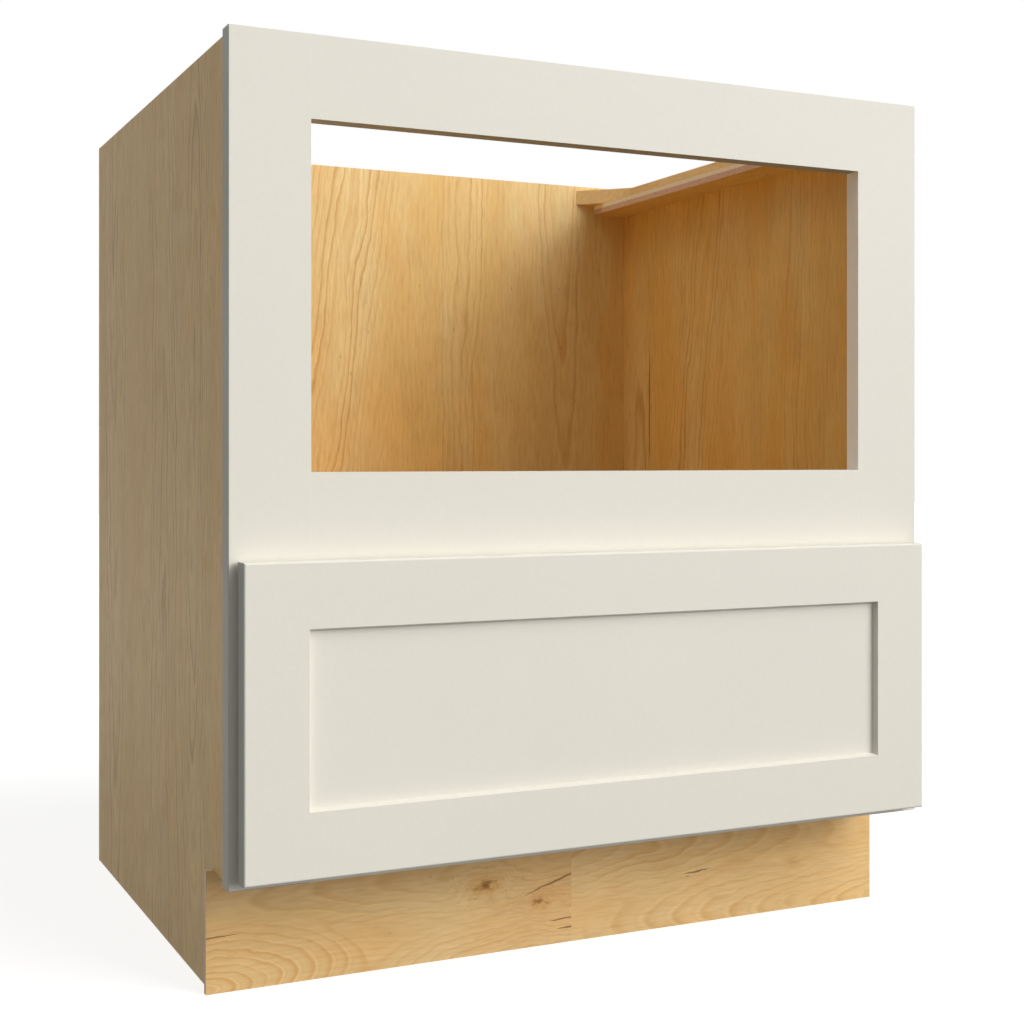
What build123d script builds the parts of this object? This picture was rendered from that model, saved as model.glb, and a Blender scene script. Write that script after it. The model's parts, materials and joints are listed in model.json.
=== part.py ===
from build123d import *
import os
from math import radians, tan

os.makedirs("parts", exist_ok=True)

# Kitchen base cabinet for a built-in microwave oven, with one drawer under it.
# Millimetres. X runs to the right, Y to the back, Z up. The origin is on the floor,
# under the middle of the whole object, drawer front included.

# Cabinet box and face frame
cabinet_width = 762.0
cabinet_height = 876.3
cabinet_depth = 609.6
frame_thickness = 19.05
stile_width = 76.2
top_rail_height = 76.2
middle_rail_height = 101.6
bottom_rail_height = 38.1
microwave_opening_height = 317.5
frame_edge_radius = 0.8
tenon_thickness = 9.5
tenon_length = 25.4
tenon_shoulder = 6.35
panel_thickness = 12.7
side_inset = 6.35
dado_depth = 6.35
shelf_thickness = 19.05
shelf_drop = 12.7

# Toe kick
toe_height = 114.3
toe_recess = 76.2
toe_skin_thickness = 6.35

# Braces along the top of each side
brace_drop = 6.35
brace_thickness = 19.05
brace_width = 19.05
brace_flare = 76.2
back_brace_length = 275.0
ledger_width = 48.0
worktop_hole_radius = 2.5
worktop_hole_inset = 25.0

# Drawer front
front_thickness = 19.05
front_gap = 2.8
front_reveal = 7.6
front_top_overlay = 23.1
front_member_width = 60.0
front_recess = 6.35
front_bevel = 2.5
front_panel_thickness = 6.35
front_groove_depth = 6.35
front_edge_radius = 2.0
front_panel_float = 1.0
bumper_radius = 5.0
bumper_inset = 16.0

# Drawer box
box_side_gap = 5.0
box_board_thickness = 15.9
box_top_clearance = 11.4
box_floor_clearance = 14.0
box_bottom_recess = 12.7
box_bottom_thickness = 6.35
box_groove_depth = 6.35
box_edge_radius = 1.5
front_tail_count = 6
back_tail_count = 5
tail_pin_width = 6.0
tail_angle = 10.0

# Drawer slides, brackets and clips
steel_thickness = 1.5
slide_width = 32.0
slide_lip = 4.5
slide_web_clearance = 2.0
slide_flange_clearance = 1.5
slide_level_gap = 1.2
slide_setback = 5.0
slide_side_gap = 0.5
middle_setback = 4.0
middle_end_clearance = 8.0
runner_setback = 1.5
glide_thickness = 2.2
glide_width = 6.0
glide_length = 36.0
glide_offset = 9.0
glide_inset = 40.0
bracket_reach = 40.0
bracket_insert = 14.0
bracket_plate_thickness = 4.0
bracket_plate_margin = 8.0
bracket_plate_height = 42.0
bracket_tongue_height = 7.0
bracket_hole_heights = (20.0, 33.0)
bracket_rib_thickness = 3.0
box_back_setback = 26.0
clip_width = 34.0
clip_length = 46.0
clip_height = 9.0
clip_edge_radius = 2.0
clip_hole_inset = 7.0
lever_thickness = 4.0
lever_length = 34.0
lever_width = 10.0
lever_pin_radius = 2.0
lever_pin_setback = 20.0
lever_cap_radius = 3.2
lever_cap_thickness = 1.0

# Screws
screw_radius = 2.0
screw_head_radius = 4.2
screw_tip_length = 3.0
screw_tip_radius = 0.4
brace_screw_length = 28.0
brace_screw_first = 95.0
brace_screw_second = 215.0
front_screw_length = 26.0
front_screw_offset = 150.0
slide_screw_length = 10.0
bracket_screw_length = 13.0
pan_head_height = 1.8
clip_screw_length = 13.0
bottom_screw_length = 25.0
bottom_screw_offset = 180.0
slide_screw_inset = 60.0
pilot_spare = 1.0

# Clearances
glue_gap = 0.1
hole_gap = 0.15
run_gap = 0.3
pin_gap = 0.05

# Places worked out from the sizes
half_width = cabinet_width / 2
overall_depth = cabinet_depth + front_gap + front_thickness
back_y = overall_depth / 2
frame_front_y = back_y - cabinet_depth
frame_back_y = frame_front_y + frame_thickness
back_inner_y = back_y - panel_thickness
side_outer_x = half_width - side_inset
side_inner_x = side_outer_x - panel_thickness
opening_half = half_width - stile_width
microwave_top_z = cabinet_height - top_rail_height
middle_top_z = microwave_top_z - microwave_opening_height
middle_low_z = middle_top_z - middle_rail_height
floor_top_z = toe_height + bottom_rail_height
floor_low_z = floor_top_z - panel_thickness
shelf_top_z = middle_top_z - shelf_drop
shelf_low_z = shelf_top_z - shelf_thickness
toe_front_y = frame_front_y + toe_recess
toe_back_y = toe_front_y + toe_skin_thickness
brace_top_z = cabinet_height - brace_drop
brace_low_z = brace_top_z - brace_thickness
ledger_low_z = brace_low_z - panel_thickness
brace_joint_y = back_inner_y - back_brace_length

front_back_y = frame_front_y - front_gap
front_face_y = front_back_y - front_thickness
front_half = half_width - front_reveal
front_low_z = toe_height + front_reveal
front_top_z = middle_low_z + front_top_overlay
front_height = front_top_z - front_low_z
front_inner_half = front_half - front_member_width
panel_front_y = front_face_y + front_recess
panel_back_y = panel_front_y + front_panel_thickness

box_half = opening_half - box_side_gap
box_inner_half = box_half - box_board_thickness
box_low_z = floor_top_z + box_floor_clearance
box_top_z = middle_low_z - box_top_clearance
bottom_low_z = box_low_z + box_bottom_recess
bottom_top_z = bottom_low_z + box_bottom_thickness
box_front_y = front_back_y
box_front_inner_y = box_front_y + box_board_thickness
slide_start_y = frame_back_y + slide_setback
slide_end_y = back_inner_y - bracket_reach
box_back_y = slide_end_y - box_back_setback
box_back_inner_y = box_back_y - box_board_thickness

rail_base_z = floor_top_z + steel_thickness
slide_member_height = (bottom_low_z - floor_top_z - slide_level_gap) / 2
rail_top_z = floor_top_z + slide_member_height
runner_low_z = bottom_low_z - slide_member_height
middle_bottom_z = rail_base_z + run_gap + glide_thickness
middle_lid_z = bottom_low_z - steel_thickness - run_gap - glide_thickness
slide_outer_x = box_inner_half - slide_side_gap
slide_inner_x = slide_outer_x - slide_width
slide_centre_x = (slide_outer_x + slide_inner_x) / 2
middle_start_y = slide_start_y + middle_setback
middle_end_y = slide_end_y - bracket_insert - middle_end_clearance
runner_start_y = box_front_inner_y + runner_setback
runner_end_y = box_back_y - runner_setback
web_half = slide_width / 2 - steel_thickness - slide_lip - slide_web_clearance
flange_half = slide_width / 2 - steel_thickness - slide_flange_clearance

clip_outer_x = slide_inner_x - slide_side_gap
clip_inner_x = clip_outer_x - clip_width
clip_centre_x = (clip_outer_x + clip_inner_x) / 2
clip_low_z = bottom_low_z - clip_height
clip_end_y = box_front_inner_y + clip_length
lever_pin_y = box_front_inner_y + lever_pin_setback
lever_top_z = clip_low_z - run_gap
lever_low_z = lever_top_z - lever_thickness
cap_top_z = lever_low_z - run_gap

SIDES = (("left", -1), ("right", 1))
LOW_END = (Align.CENTER, Align.CENTER, Align.MIN)
HIGH_END = (Align.CENTER, Align.CENTER, Align.MAX)


def rectangle_between(left, right, low, high):
    """Add a rectangle with these four limits to the open sketch."""
    with Locations(((left + right) / 2, (low + high) / 2)):
        Rectangle(abs(right - left), abs(high - low))


def add_tails(root_y, end_y, low_z, count, growth):
    """Add dovetails that widen from root_y to end_y, from low_z to the box's top, to the open sketch."""
    pitch = (box_top_z - low_z) / count
    end_half = (pitch - tail_pin_width) / 2 + growth
    root_half = end_half - box_board_thickness * tan(radians(tail_angle))
    for index in range(count):
        middle_z = low_z + pitch * (index + 0.5)
        Polygon(
            (root_y, middle_z - root_half),
            (end_y, middle_z - end_half),
            (end_y, middle_z + end_half),
            (root_y, middle_z + root_half),
            align=None,
        )


def add_countersunk_screw(length):
    """Add a screw with its flat head at the height of the location and its tip below."""
    head_depth = screw_head_radius - screw_radius
    shank_length = length - head_depth - screw_tip_length
    Cone(screw_radius, screw_head_radius, head_depth, align=HIGH_END)
    with Locations((0, 0, -head_depth)):
        Cylinder(screw_radius, shank_length, align=HIGH_END)
    with Locations((0, 0, -head_depth - shank_length)):
        Cone(screw_tip_radius, screw_radius, screw_tip_length, align=HIGH_END)


def add_pan_screw(length):
    """Add a screw whose flat-topped head stands on the location and whose shank goes down."""
    shank_length = length - screw_tip_length
    Cylinder(screw_head_radius, pan_head_height, align=LOW_END)
    Cylinder(screw_radius, shank_length, align=HIGH_END)
    with Locations((0, 0, -shank_length)):
        Cone(screw_tip_radius, screw_radius, screw_tip_length, align=HIGH_END)


def add_countersunk_hole(depth):
    """Cut a hole for a countersunk screw, with its mouth at the location."""
    CounterSinkHole(screw_radius + hole_gap, screw_head_radius + hole_gap, depth, 90)


def save(builder, name):
    """Label a finished piece and write it to its own file."""
    builder.part.label = name
    export_step(builder.part, f"parts/{name}.step")


# Side panels: plywood, notched for the toe kick, with dadoes for the floor and the shelf
for side, sign in SIDES:
    with BuildPart() as side_panel:
        with BuildSketch(Plane.YZ.offset(sign * side_inner_x)):
            rectangle_between(frame_back_y, back_y, 0, cabinet_height)
            with Locations((frame_back_y, 0)):
                Rectangle(
                    toe_back_y - frame_back_y, toe_height, align=(Align.MIN, Align.MIN), mode=Mode.SUBTRACT
                )
        extrude(amount=sign * panel_thickness)
        with BuildSketch(Plane.YZ.offset(sign * side_inner_x)):
            rectangle_between(frame_back_y, back_inner_y, floor_low_z, floor_top_z + glue_gap)
            rectangle_between(frame_back_y, back_inner_y, shelf_low_z, shelf_top_z + glue_gap)
        extrude(amount=sign * dado_depth, mode=Mode.SUBTRACT)
    save(side_panel, f"{side}_side_panel")

# Back panel: plywood between the sides, flush with their back edges, with the bracket pilot holes
with BuildPart() as back_panel:
    with BuildSketch(Plane.XZ.offset(-back_y)):
        rectangle_between(-side_inner_x, side_inner_x, 0, cabinet_height)
    extrude(amount=panel_thickness)
    for side, sign in SIDES:
        for height in bracket_hole_heights:
            mouth = (sign * slide_centre_x, back_inner_y, floor_top_z + height)
            with Locations(Plane(mouth, z_dir=(0, -1, 0))):
                Hole(screw_radius + hole_gap, bracket_screw_length - bracket_plate_thickness + pilot_spare)
save(back_panel, "back_panel")

# Floor of the drawer compartment, let into the sides, with the slide screws' pilot holes
slide_screw_ys = (slide_start_y + slide_screw_inset, slide_end_y - slide_screw_inset)
dado_half = side_inner_x + dado_depth - glue_gap
with BuildPart() as floor_panel:
    with BuildSketch(Plane.XY.offset(floor_low_z)):
        rectangle_between(-dado_half, dado_half, frame_back_y, back_inner_y)
    extrude(amount=panel_thickness)
    for side, sign in SIDES:
        for screw_y in slide_screw_ys:
            with Locations((sign * slide_centre_x, screw_y, floor_top_z)):
                Hole(screw_radius + hole_gap, slide_screw_length - steel_thickness + pilot_spare)
save(floor_panel, "floor_panel")

# Shelf that carries the microwave oven, let into the sides below the middle rail's top
with BuildPart() as microwave_shelf:
    with BuildSketch(Plane.XY.offset(shelf_low_z)):
        rectangle_between(-dado_half, dado_half, frame_back_y, back_inner_y)
    extrude(amount=shelf_thickness)
save(microwave_shelf, "microwave_shelf")

# Sub toe board between the sides, and the two skins that cover it and the side panels' edges
with BuildPart() as sub_toe_board:
    with BuildSketch(Plane.XY):
        rectangle_between(-side_inner_x, side_inner_x, toe_back_y, toe_back_y + panel_thickness)
    extrude(amount=floor_low_z)
save(sub_toe_board, "sub_toe_board")

for side, sign in SIDES:
    with BuildPart() as toe_skin:
        with BuildSketch(Plane.XY):
            rectangle_between(0, sign * half_width, toe_front_y, toe_back_y)
        extrude(amount=toe_height)
    save(toe_skin, f"toe_skin_{side}")

# Face frame rails, with a tenon at each end
tenon_front_y = frame_front_y + (frame_thickness - tenon_thickness) / 2
tenon_back_y = tenon_front_y + tenon_thickness
RAILS = (
    ("top_rail", microwave_top_z, cabinet_height),
    ("middle_rail", middle_low_z, middle_top_z),
    ("bottom_rail", toe_height, floor_top_z),
)
for rail_name, rail_low_z, rail_high_z in RAILS:
    with BuildPart() as frame_rail:
        with BuildSketch(Plane.XZ.offset(-frame_back_y)):
            rectangle_between(-opening_half, opening_half, rail_low_z, rail_high_z)
        extrude(amount=frame_thickness)
        tenon_half = opening_half + tenon_length
        with BuildSketch(Plane.XZ.offset(-tenon_back_y)):
            tenon_low_z = rail_low_z + tenon_shoulder
            tenon_high_z = rail_high_z - tenon_shoulder
            rectangle_between(-tenon_half, tenon_half, tenon_low_z, tenon_high_z)
        extrude(amount=tenon_thickness)
    save(frame_rail, f"frame_{rail_name}")

# Face frame stiles, full height above the toe kick, mortised for the rails
for side, sign in SIDES:
    with BuildPart() as frame_stile:
        with BuildSketch(Plane.XZ.offset(-frame_back_y)):
            rectangle_between(sign * opening_half, sign * half_width, toe_height, cabinet_height)
        extrude(amount=frame_thickness)
        outer_edge = frame_stile.edges().filter_by(Axis.Z).group_by(Axis.Y)[0].sort_by(Axis.X)
        fillet(outer_edge[-1] if sign > 0 else outer_edge[0], radius=frame_edge_radius)
        mortise_x = sign * (opening_half + tenon_length + glue_gap)
        with BuildSketch(Plane.XZ.offset(-tenon_back_y - glue_gap)):
            for rail_name, rail_low_z, rail_high_z in RAILS:
                mortise_low_z = rail_low_z + tenon_shoulder - glue_gap
                mortise_high_z = rail_high_z - tenon_shoulder + glue_gap
                rectangle_between(sign * opening_half, mortise_x, mortise_low_z, mortise_high_z)
        extrude(amount=tenon_thickness + 2 * glue_gap, mode=Mode.SUBTRACT)
    save(frame_stile, f"frame_{side}_stile")

# Braces that hold the top square and take the worktop screws. Each side has a ledger strip, and
# on it a back and a front length that meet end to end and flare out at their corner.
BRACES = (
    ("back", back_inner_y, -1, back_brace_length),
    ("front", frame_back_y, 1, brace_joint_y - frame_back_y),
)
brace_screw_x = side_inner_x - brace_width / 2
for side, sign in SIDES:
    with BuildPart() as brace_ledger:
        with BuildSketch(Plane.XY.offset(ledger_low_z)):
            ledger_inner_x = sign * (side_inner_x - ledger_width)
            rectangle_between(ledger_inner_x, sign * side_inner_x, frame_back_y, back_inner_y)
        extrude(amount=panel_thickness)
        for end, wall_y, inward, brace_length in BRACES:
            hole_x = sign * (side_inner_x - worktop_hole_inset)
            with Locations((hole_x, wall_y + inward * worktop_hole_inset, brace_low_z)):
                Hole(worktop_hole_radius, panel_thickness)
            for distance in (brace_screw_first, brace_screw_second):
                with Locations((sign * brace_screw_x, wall_y + inward * distance, brace_low_z)):
                    Hole(screw_radius + hole_gap, panel_thickness)
    save(brace_ledger, f"brace_ledger_{side}")

    for end, wall_y, inward, brace_length in BRACES:
        with BuildPart() as corner_brace:
            with BuildSketch(Plane.XY.offset(brace_low_z)):
                Polygon(
                    (sign * side_inner_x, wall_y),
                    (sign * (side_inner_x - brace_flare), wall_y),
                    (sign * (side_inner_x - brace_width), wall_y + inward * (brace_flare - brace_width)),
                    (sign * (side_inner_x - brace_width), wall_y + inward * brace_length),
                    (sign * side_inner_x, wall_y + inward * brace_length),
                    align=None,
                )
            extrude(amount=brace_thickness)
            hole_x = sign * (side_inner_x - worktop_hole_inset)
            with Locations((hole_x, wall_y + inward * worktop_hole_inset, brace_top_z)):
                Hole(worktop_hole_radius, brace_thickness)
            for distance in (brace_screw_first, brace_screw_second):
                with Locations((sign * brace_screw_x, wall_y + inward * distance, brace_top_z)):
                    add_countersunk_hole(brace_thickness)
        save(corner_brace, f"{end}_brace_{side}")

with BuildPart() as brace_screws:
    for side, sign in SIDES:
        for end, wall_y, inward, brace_length in BRACES:
            for distance in (brace_screw_first, brace_screw_second):
                with Locations((sign * brace_screw_x, wall_y + inward * distance, brace_top_z)):
                    add_countersunk_screw(brace_screw_length)
save(brace_screws, "brace_screws")

# Drawer front: stiles with a bevelled inner edge and a groove for the panel and the rails' tongues
groove_front_y = panel_front_y - glue_gap
groove_back_y = panel_back_y + glue_gap
tongue_half = front_inner_half + front_groove_depth - glue_gap
for side, sign in SIDES:
    with BuildPart() as front_stile:
        with BuildSketch(Plane.XY.offset(front_low_z)):
            Polygon(
                (sign * front_inner_half, front_face_y),
                (sign * front_half, front_face_y),
                (sign * front_half, front_back_y),
                (sign * (front_inner_half - front_bevel), front_back_y),
                (sign * (front_inner_half - front_bevel), panel_front_y),
                align=None,
            )
        extrude(amount=front_height)
        face_edges = front_stile.edges().group_by(Axis.Y)[0]
        long_edges = face_edges.filter_by(Axis.Z).sort_by(Axis.X)
        outer_edges = face_edges.filter_by(Axis.X) + [long_edges[-1] if sign > 0 else long_edges[0]]
        fillet(outer_edges, radius=front_edge_radius)
        with BuildSketch(Plane.XY.offset(front_low_z)):
            groove_mouth_x = sign * (front_inner_half - front_bevel)
            groove_floor_x = sign * (front_inner_half + front_groove_depth)
            rectangle_between(groove_mouth_x, groove_floor_x, groove_front_y, groove_back_y)
        extrude(amount=front_height, mode=Mode.SUBTRACT)
    save(front_stile, f"drawer_front_{side}_stile")

# Drawer front: rails coped over the stiles' bevel, with a tongue at each end
FRONT_RAILS = (("bottom", front_low_z, 1, box_low_z), ("top", front_top_z, -1, box_top_z))
shoulder_half = front_inner_half - front_bevel
front_pilot_depth = front_screw_length - box_board_thickness + pilot_spare


def front_screw_height(outer_z, inward, box_edge_z):
    """Height of the screws into a drawer-front rail, between the box's edge and the panel groove."""
    groove_low_z = outer_z + inward * (front_member_width - front_groove_depth)
    return (box_edge_z + groove_low_z) / 2


for rail_name, outer_z, inward, box_edge_z in FRONT_RAILS:
    inner_z = outer_z + inward * front_member_width
    bevel_z = inner_z + inward * front_bevel
    groove_z = inner_z - inward * front_groove_depth
    with BuildPart() as front_rail:
        with BuildSketch(Plane.XY.offset(outer_z)):
            Polygon(
                (-front_inner_half, front_face_y),
                (front_inner_half, front_face_y),
                (shoulder_half, panel_front_y),
                (shoulder_half, front_back_y),
                (-shoulder_half, front_back_y),
                (-shoulder_half, panel_front_y),
                align=None,
            )
        extrude(amount=bevel_z - outer_z)
        with BuildSketch(Plane.YZ.offset(-front_inner_half)):
            Polygon((front_face_y, inner_z), (panel_front_y, bevel_z), (front_face_y, bevel_z), align=None)
            rectangle_between(groove_front_y, groove_back_y, groove_z, bevel_z)
        extrude(amount=2 * front_inner_half, mode=Mode.SUBTRACT)
        face_edges = front_rail.edges().filter_by(Axis.X).group_by(Axis.Y)[0].sort_by(Axis.Z)
        fillet(face_edges[0] if inward > 0 else face_edges[-1], radius=front_edge_radius)
        for side, sign in SIDES:
            with BuildSketch(Plane.XY.offset(outer_z)):
                rectangle_between(sign * shoulder_half, sign * tongue_half, panel_front_y, panel_back_y)
            extrude(amount=groove_z - outer_z)
            screw_z = front_screw_height(outer_z, inward, box_edge_z)
            with Locations(Plane((sign * front_screw_offset, front_back_y, screw_z), z_dir=(0, 1, 0))):
                Hole(screw_radius + hole_gap, front_pilot_depth)
    save(front_rail, f"drawer_front_{rail_name}_rail")

# Drawer front: flat panel, loose in the grooves
panel_half = front_inner_half + front_groove_depth - front_panel_float
panel_inset = front_member_width - front_groove_depth + front_panel_float
with BuildPart() as front_panel:
    with BuildSketch(Plane.XZ.offset(-panel_back_y)):
        rectangle_between(-panel_half, panel_half, front_low_z + panel_inset, front_top_z - panel_inset)
    extrude(amount=front_panel_thickness)
save(front_panel, "drawer_front_panel")

# Rubber bumpers between the drawer front and the face frame
with BuildPart() as bumpers:
    for side, sign in SIDES:
        for bumper_z in (front_low_z + bumper_inset, front_top_z - bumper_inset):
            bumper_x = sign * (front_half - bumper_inset)
            with Locations(Plane((bumper_x, front_back_y, bumper_z), z_dir=(0, 1, 0))):
                Cylinder(bumper_radius, front_gap, align=LOW_END)
save(bumpers, "bumpers")

# Drawer box: sides with dovetails at both ends and a groove for the bottom
groove_half = box_inner_half + box_groove_depth
groove_start_y = box_front_inner_y - box_groove_depth
for side, sign in SIDES:
    with BuildPart() as box_side:
        with BuildSketch(Plane.YZ.offset(sign * box_inner_half)):
            rectangle_between(box_front_inner_y, box_back_inner_y, box_low_z, box_top_z)
            rectangle_between(box_back_inner_y, box_back_y, box_low_z, bottom_top_z)
            add_tails(box_front_inner_y, box_front_y, box_low_z, front_tail_count, 0)
            add_tails(box_back_inner_y, box_back_y, bottom_top_z, back_tail_count, 0)
        extrude(amount=sign * box_board_thickness)
        fillet(box_side.edges().filter_by(Axis.Y).group_by(Axis.Z)[-1], radius=box_edge_radius)
        with BuildSketch(Plane.XY.offset(bottom_low_z)):
            rectangle_between(sign * box_inner_half, sign * groove_half, groove_start_y, box_back_y)
        extrude(amount=box_bottom_thickness + glue_gap, mode=Mode.SUBTRACT)
    save(box_side, f"drawer_box_{side}_side")

# Drawer box: front, cut for the tails, grooved, and bored for the screws into the drawer front
with BuildPart() as box_front:
    with BuildSketch(Plane.XZ.offset(-box_front_inner_y)):
        rectangle_between(-box_half, box_half, box_low_z, box_top_z)
    extrude(amount=box_board_thickness)
    for side, sign in SIDES:
        with BuildSketch(Plane.YZ.offset(sign * box_inner_half)):
            add_tails(box_front_inner_y, box_front_y, box_low_z, front_tail_count, glue_gap)
        extrude(amount=sign * box_board_thickness, mode=Mode.SUBTRACT)
    with BuildSketch(Plane.XY.offset(bottom_low_z)):
        rectangle_between(-groove_half, groove_half, groove_start_y, box_front_inner_y)
    extrude(amount=box_bottom_thickness + glue_gap, mode=Mode.SUBTRACT)
    for rail_name, outer_z, inward, box_edge_z in FRONT_RAILS:
        screw_z = front_screw_height(outer_z, inward, box_edge_z)
        for side, sign in SIDES:
            with Locations(Plane((sign * front_screw_offset, box_front_inner_y, screw_z), z_dir=(0, 1, 0))):
                add_countersunk_hole(box_board_thickness)
save(box_front, "drawer_box_front")

with BuildPart() as front_screws:
    for rail_name, outer_z, inward, box_edge_z in FRONT_RAILS:
        screw_z = front_screw_height(outer_z, inward, box_edge_z)
        for side, sign in SIDES:
            with Locations(Plane((sign * front_screw_offset, box_front_inner_y, screw_z), z_dir=(0, 1, 0))):
                add_countersunk_screw(front_screw_length)
save(front_screws, "drawer_front_screws")

# Drawer box: back, cut for the tails, standing on the bottom and screwed to it from below
bottom_screw_xs = (-bottom_screw_offset, 0, bottom_screw_offset)
bottom_screw_y = (box_back_inner_y + box_back_y) / 2
with BuildPart() as box_back:
    with BuildSketch(Plane.XZ.offset(-box_back_y)):
        rectangle_between(-box_half, box_half, bottom_top_z, box_top_z)
    extrude(amount=box_board_thickness)
    for side, sign in SIDES:
        with BuildSketch(Plane.YZ.offset(sign * box_inner_half)):
            add_tails(box_back_inner_y, box_back_y, bottom_top_z, back_tail_count, glue_gap)
            rectangle_between(box_back_inner_y, box_back_y, bottom_top_z, bottom_top_z + glue_gap)
        extrude(amount=sign * box_board_thickness, mode=Mode.SUBTRACT)
    for screw_x in bottom_screw_xs:
        with Locations(Plane((screw_x, bottom_screw_y, bottom_top_z), z_dir=(0, 0, -1))):
            Hole(screw_radius + hole_gap, bottom_screw_length - box_bottom_thickness + pilot_spare)
save(box_back, "drawer_box_back")

# Drawer box: bottom, slid into the grooves from behind, with the clip screws' pilot holes
clip_screw_xs = (clip_inner_x + clip_hole_inset, clip_outer_x - clip_hole_inset)
clip_screw_y = clip_end_y - clip_hole_inset
with BuildPart() as box_bottom:
    with BuildSketch(Plane.XY.offset(bottom_low_z)):
        bottom_half = groove_half - glue_gap
        rectangle_between(-bottom_half, bottom_half, groove_start_y + glue_gap, box_back_y)
    extrude(amount=box_bottom_thickness)
    for side, sign in SIDES:
        for screw_x in clip_screw_xs:
            with Locations(Plane((sign * screw_x, clip_screw_y, bottom_low_z), z_dir=(0, 0, -1))):
                Hole(screw_radius + hole_gap, clip_screw_length - clip_height + pilot_spare)
    for screw_x in bottom_screw_xs:
        with Locations(Plane((screw_x, bottom_screw_y, bottom_low_z), z_dir=(0, 0, -1))):
            add_countersunk_hole(box_bottom_thickness)
save(box_bottom, "drawer_box_bottom")

with BuildPart() as bottom_screws:
    for screw_x in bottom_screw_xs:
        with Locations(Plane((screw_x, bottom_screw_y, bottom_low_z), z_dir=(0, 0, -1))):
            add_countersunk_screw(bottom_screw_length)
save(bottom_screws, "drawer_bottom_screws")

# Drawer slides: a cabinet rail on the floor, open at the top between two lips
for side, sign in SIDES:
    with BuildPart() as slide_rail:
        with BuildSketch(Plane.XZ.offset(-slide_end_y)):
            rectangle_between(sign * slide_inner_x, sign * slide_outer_x, floor_top_z, rail_top_z)
            with Locations((sign * slide_centre_x, rail_base_z)):
                cavity_width = slide_width - 2 * steel_thickness
                cavity_height = slide_member_height - 2 * steel_thickness
                Rectangle(cavity_width, cavity_height, align=(Align.CENTER, Align.MIN), mode=Mode.SUBTRACT)
                mouth_width = cavity_width - 2 * slide_lip
                mouth_height = slide_member_height - steel_thickness
                Rectangle(mouth_width, mouth_height, align=(Align.CENTER, Align.MIN), mode=Mode.SUBTRACT)
        extrude(amount=slide_end_y - slide_start_y)
        for screw_y in slide_screw_ys:
            with Locations((sign * slide_centre_x, screw_y, rail_base_z)):
                Hole(screw_radius + hole_gap, steel_thickness)
    save(slide_rail, f"slide_rail_{side}")

with BuildPart() as slide_screws:
    for side, sign in SIDES:
        for screw_y in slide_screw_ys:
            with Locations((sign * slide_centre_x, screw_y, rail_base_z)):
                add_pan_screw(slide_screw_length)
save(slide_screws, "slide_screws")

# Drawer slides: the middle length, a box section with a flange in the rail and one in the runner
for side, sign in SIDES:
    centre_x = sign * slide_centre_x
    with BuildPart() as slide_middle:
        with BuildSketch(Plane.XZ.offset(-middle_end_y)):
            for flange_low_z in (middle_bottom_z, middle_lid_z - steel_thickness):
                flange_high_z = flange_low_z + steel_thickness
                rectangle_between(centre_x - flange_half, centre_x + flange_half, flange_low_z, flange_high_z)
            rectangle_between(centre_x - web_half, centre_x + web_half, middle_bottom_z, middle_lid_z)
            with Locations((centre_x, (middle_bottom_z + middle_lid_z) / 2)):
                hollow_height = middle_lid_z - middle_bottom_z - 2 * steel_thickness
                Rectangle(2 * (web_half - steel_thickness), hollow_height, mode=Mode.SUBTRACT)
        extrude(amount=middle_end_y - middle_start_y)
    save(slide_middle, f"slide_middle_{side}")

    with BuildPart() as slide_glides:
        for glide_low_z in (middle_bottom_z - glide_thickness, middle_lid_z):
            with BuildSketch(Plane.XY.offset(glide_low_z)):
                for glide_y in (middle_start_y + glide_inset, middle_end_y - glide_inset):
                    with Locations((centre_x - glide_offset, glide_y), (centre_x + glide_offset, glide_y)):
                        SlotOverall(glide_length, glide_width, rotation=90)
            extrude(amount=glide_thickness)
    save(slide_glides, f"slide_glides_{side}")

# Drawer slides: the runner under the drawer, open at the bottom between two lips
for side, sign in SIDES:
    with BuildPart() as slide_runner:
        with BuildSketch(Plane.XZ.offset(-runner_end_y)):
            rectangle_between(sign * slide_inner_x, sign * slide_outer_x, runner_low_z, bottom_low_z)
            with Locations((sign * slide_centre_x, bottom_low_z - steel_thickness)):
                cavity_width = slide_width - 2 * steel_thickness
                cavity_height = slide_member_height - 2 * steel_thickness
                Rectangle(cavity_width, cavity_height, align=(Align.CENTER, Align.MAX), mode=Mode.SUBTRACT)
                mouth_width = cavity_width - 2 * slide_lip
                mouth_height = slide_member_height - steel_thickness
                Rectangle(mouth_width, mouth_height, align=(Align.CENTER, Align.MAX), mode=Mode.SUBTRACT)
        extrude(amount=runner_end_y - runner_start_y)
    save(slide_runner, f"slide_runner_{side}")

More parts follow.
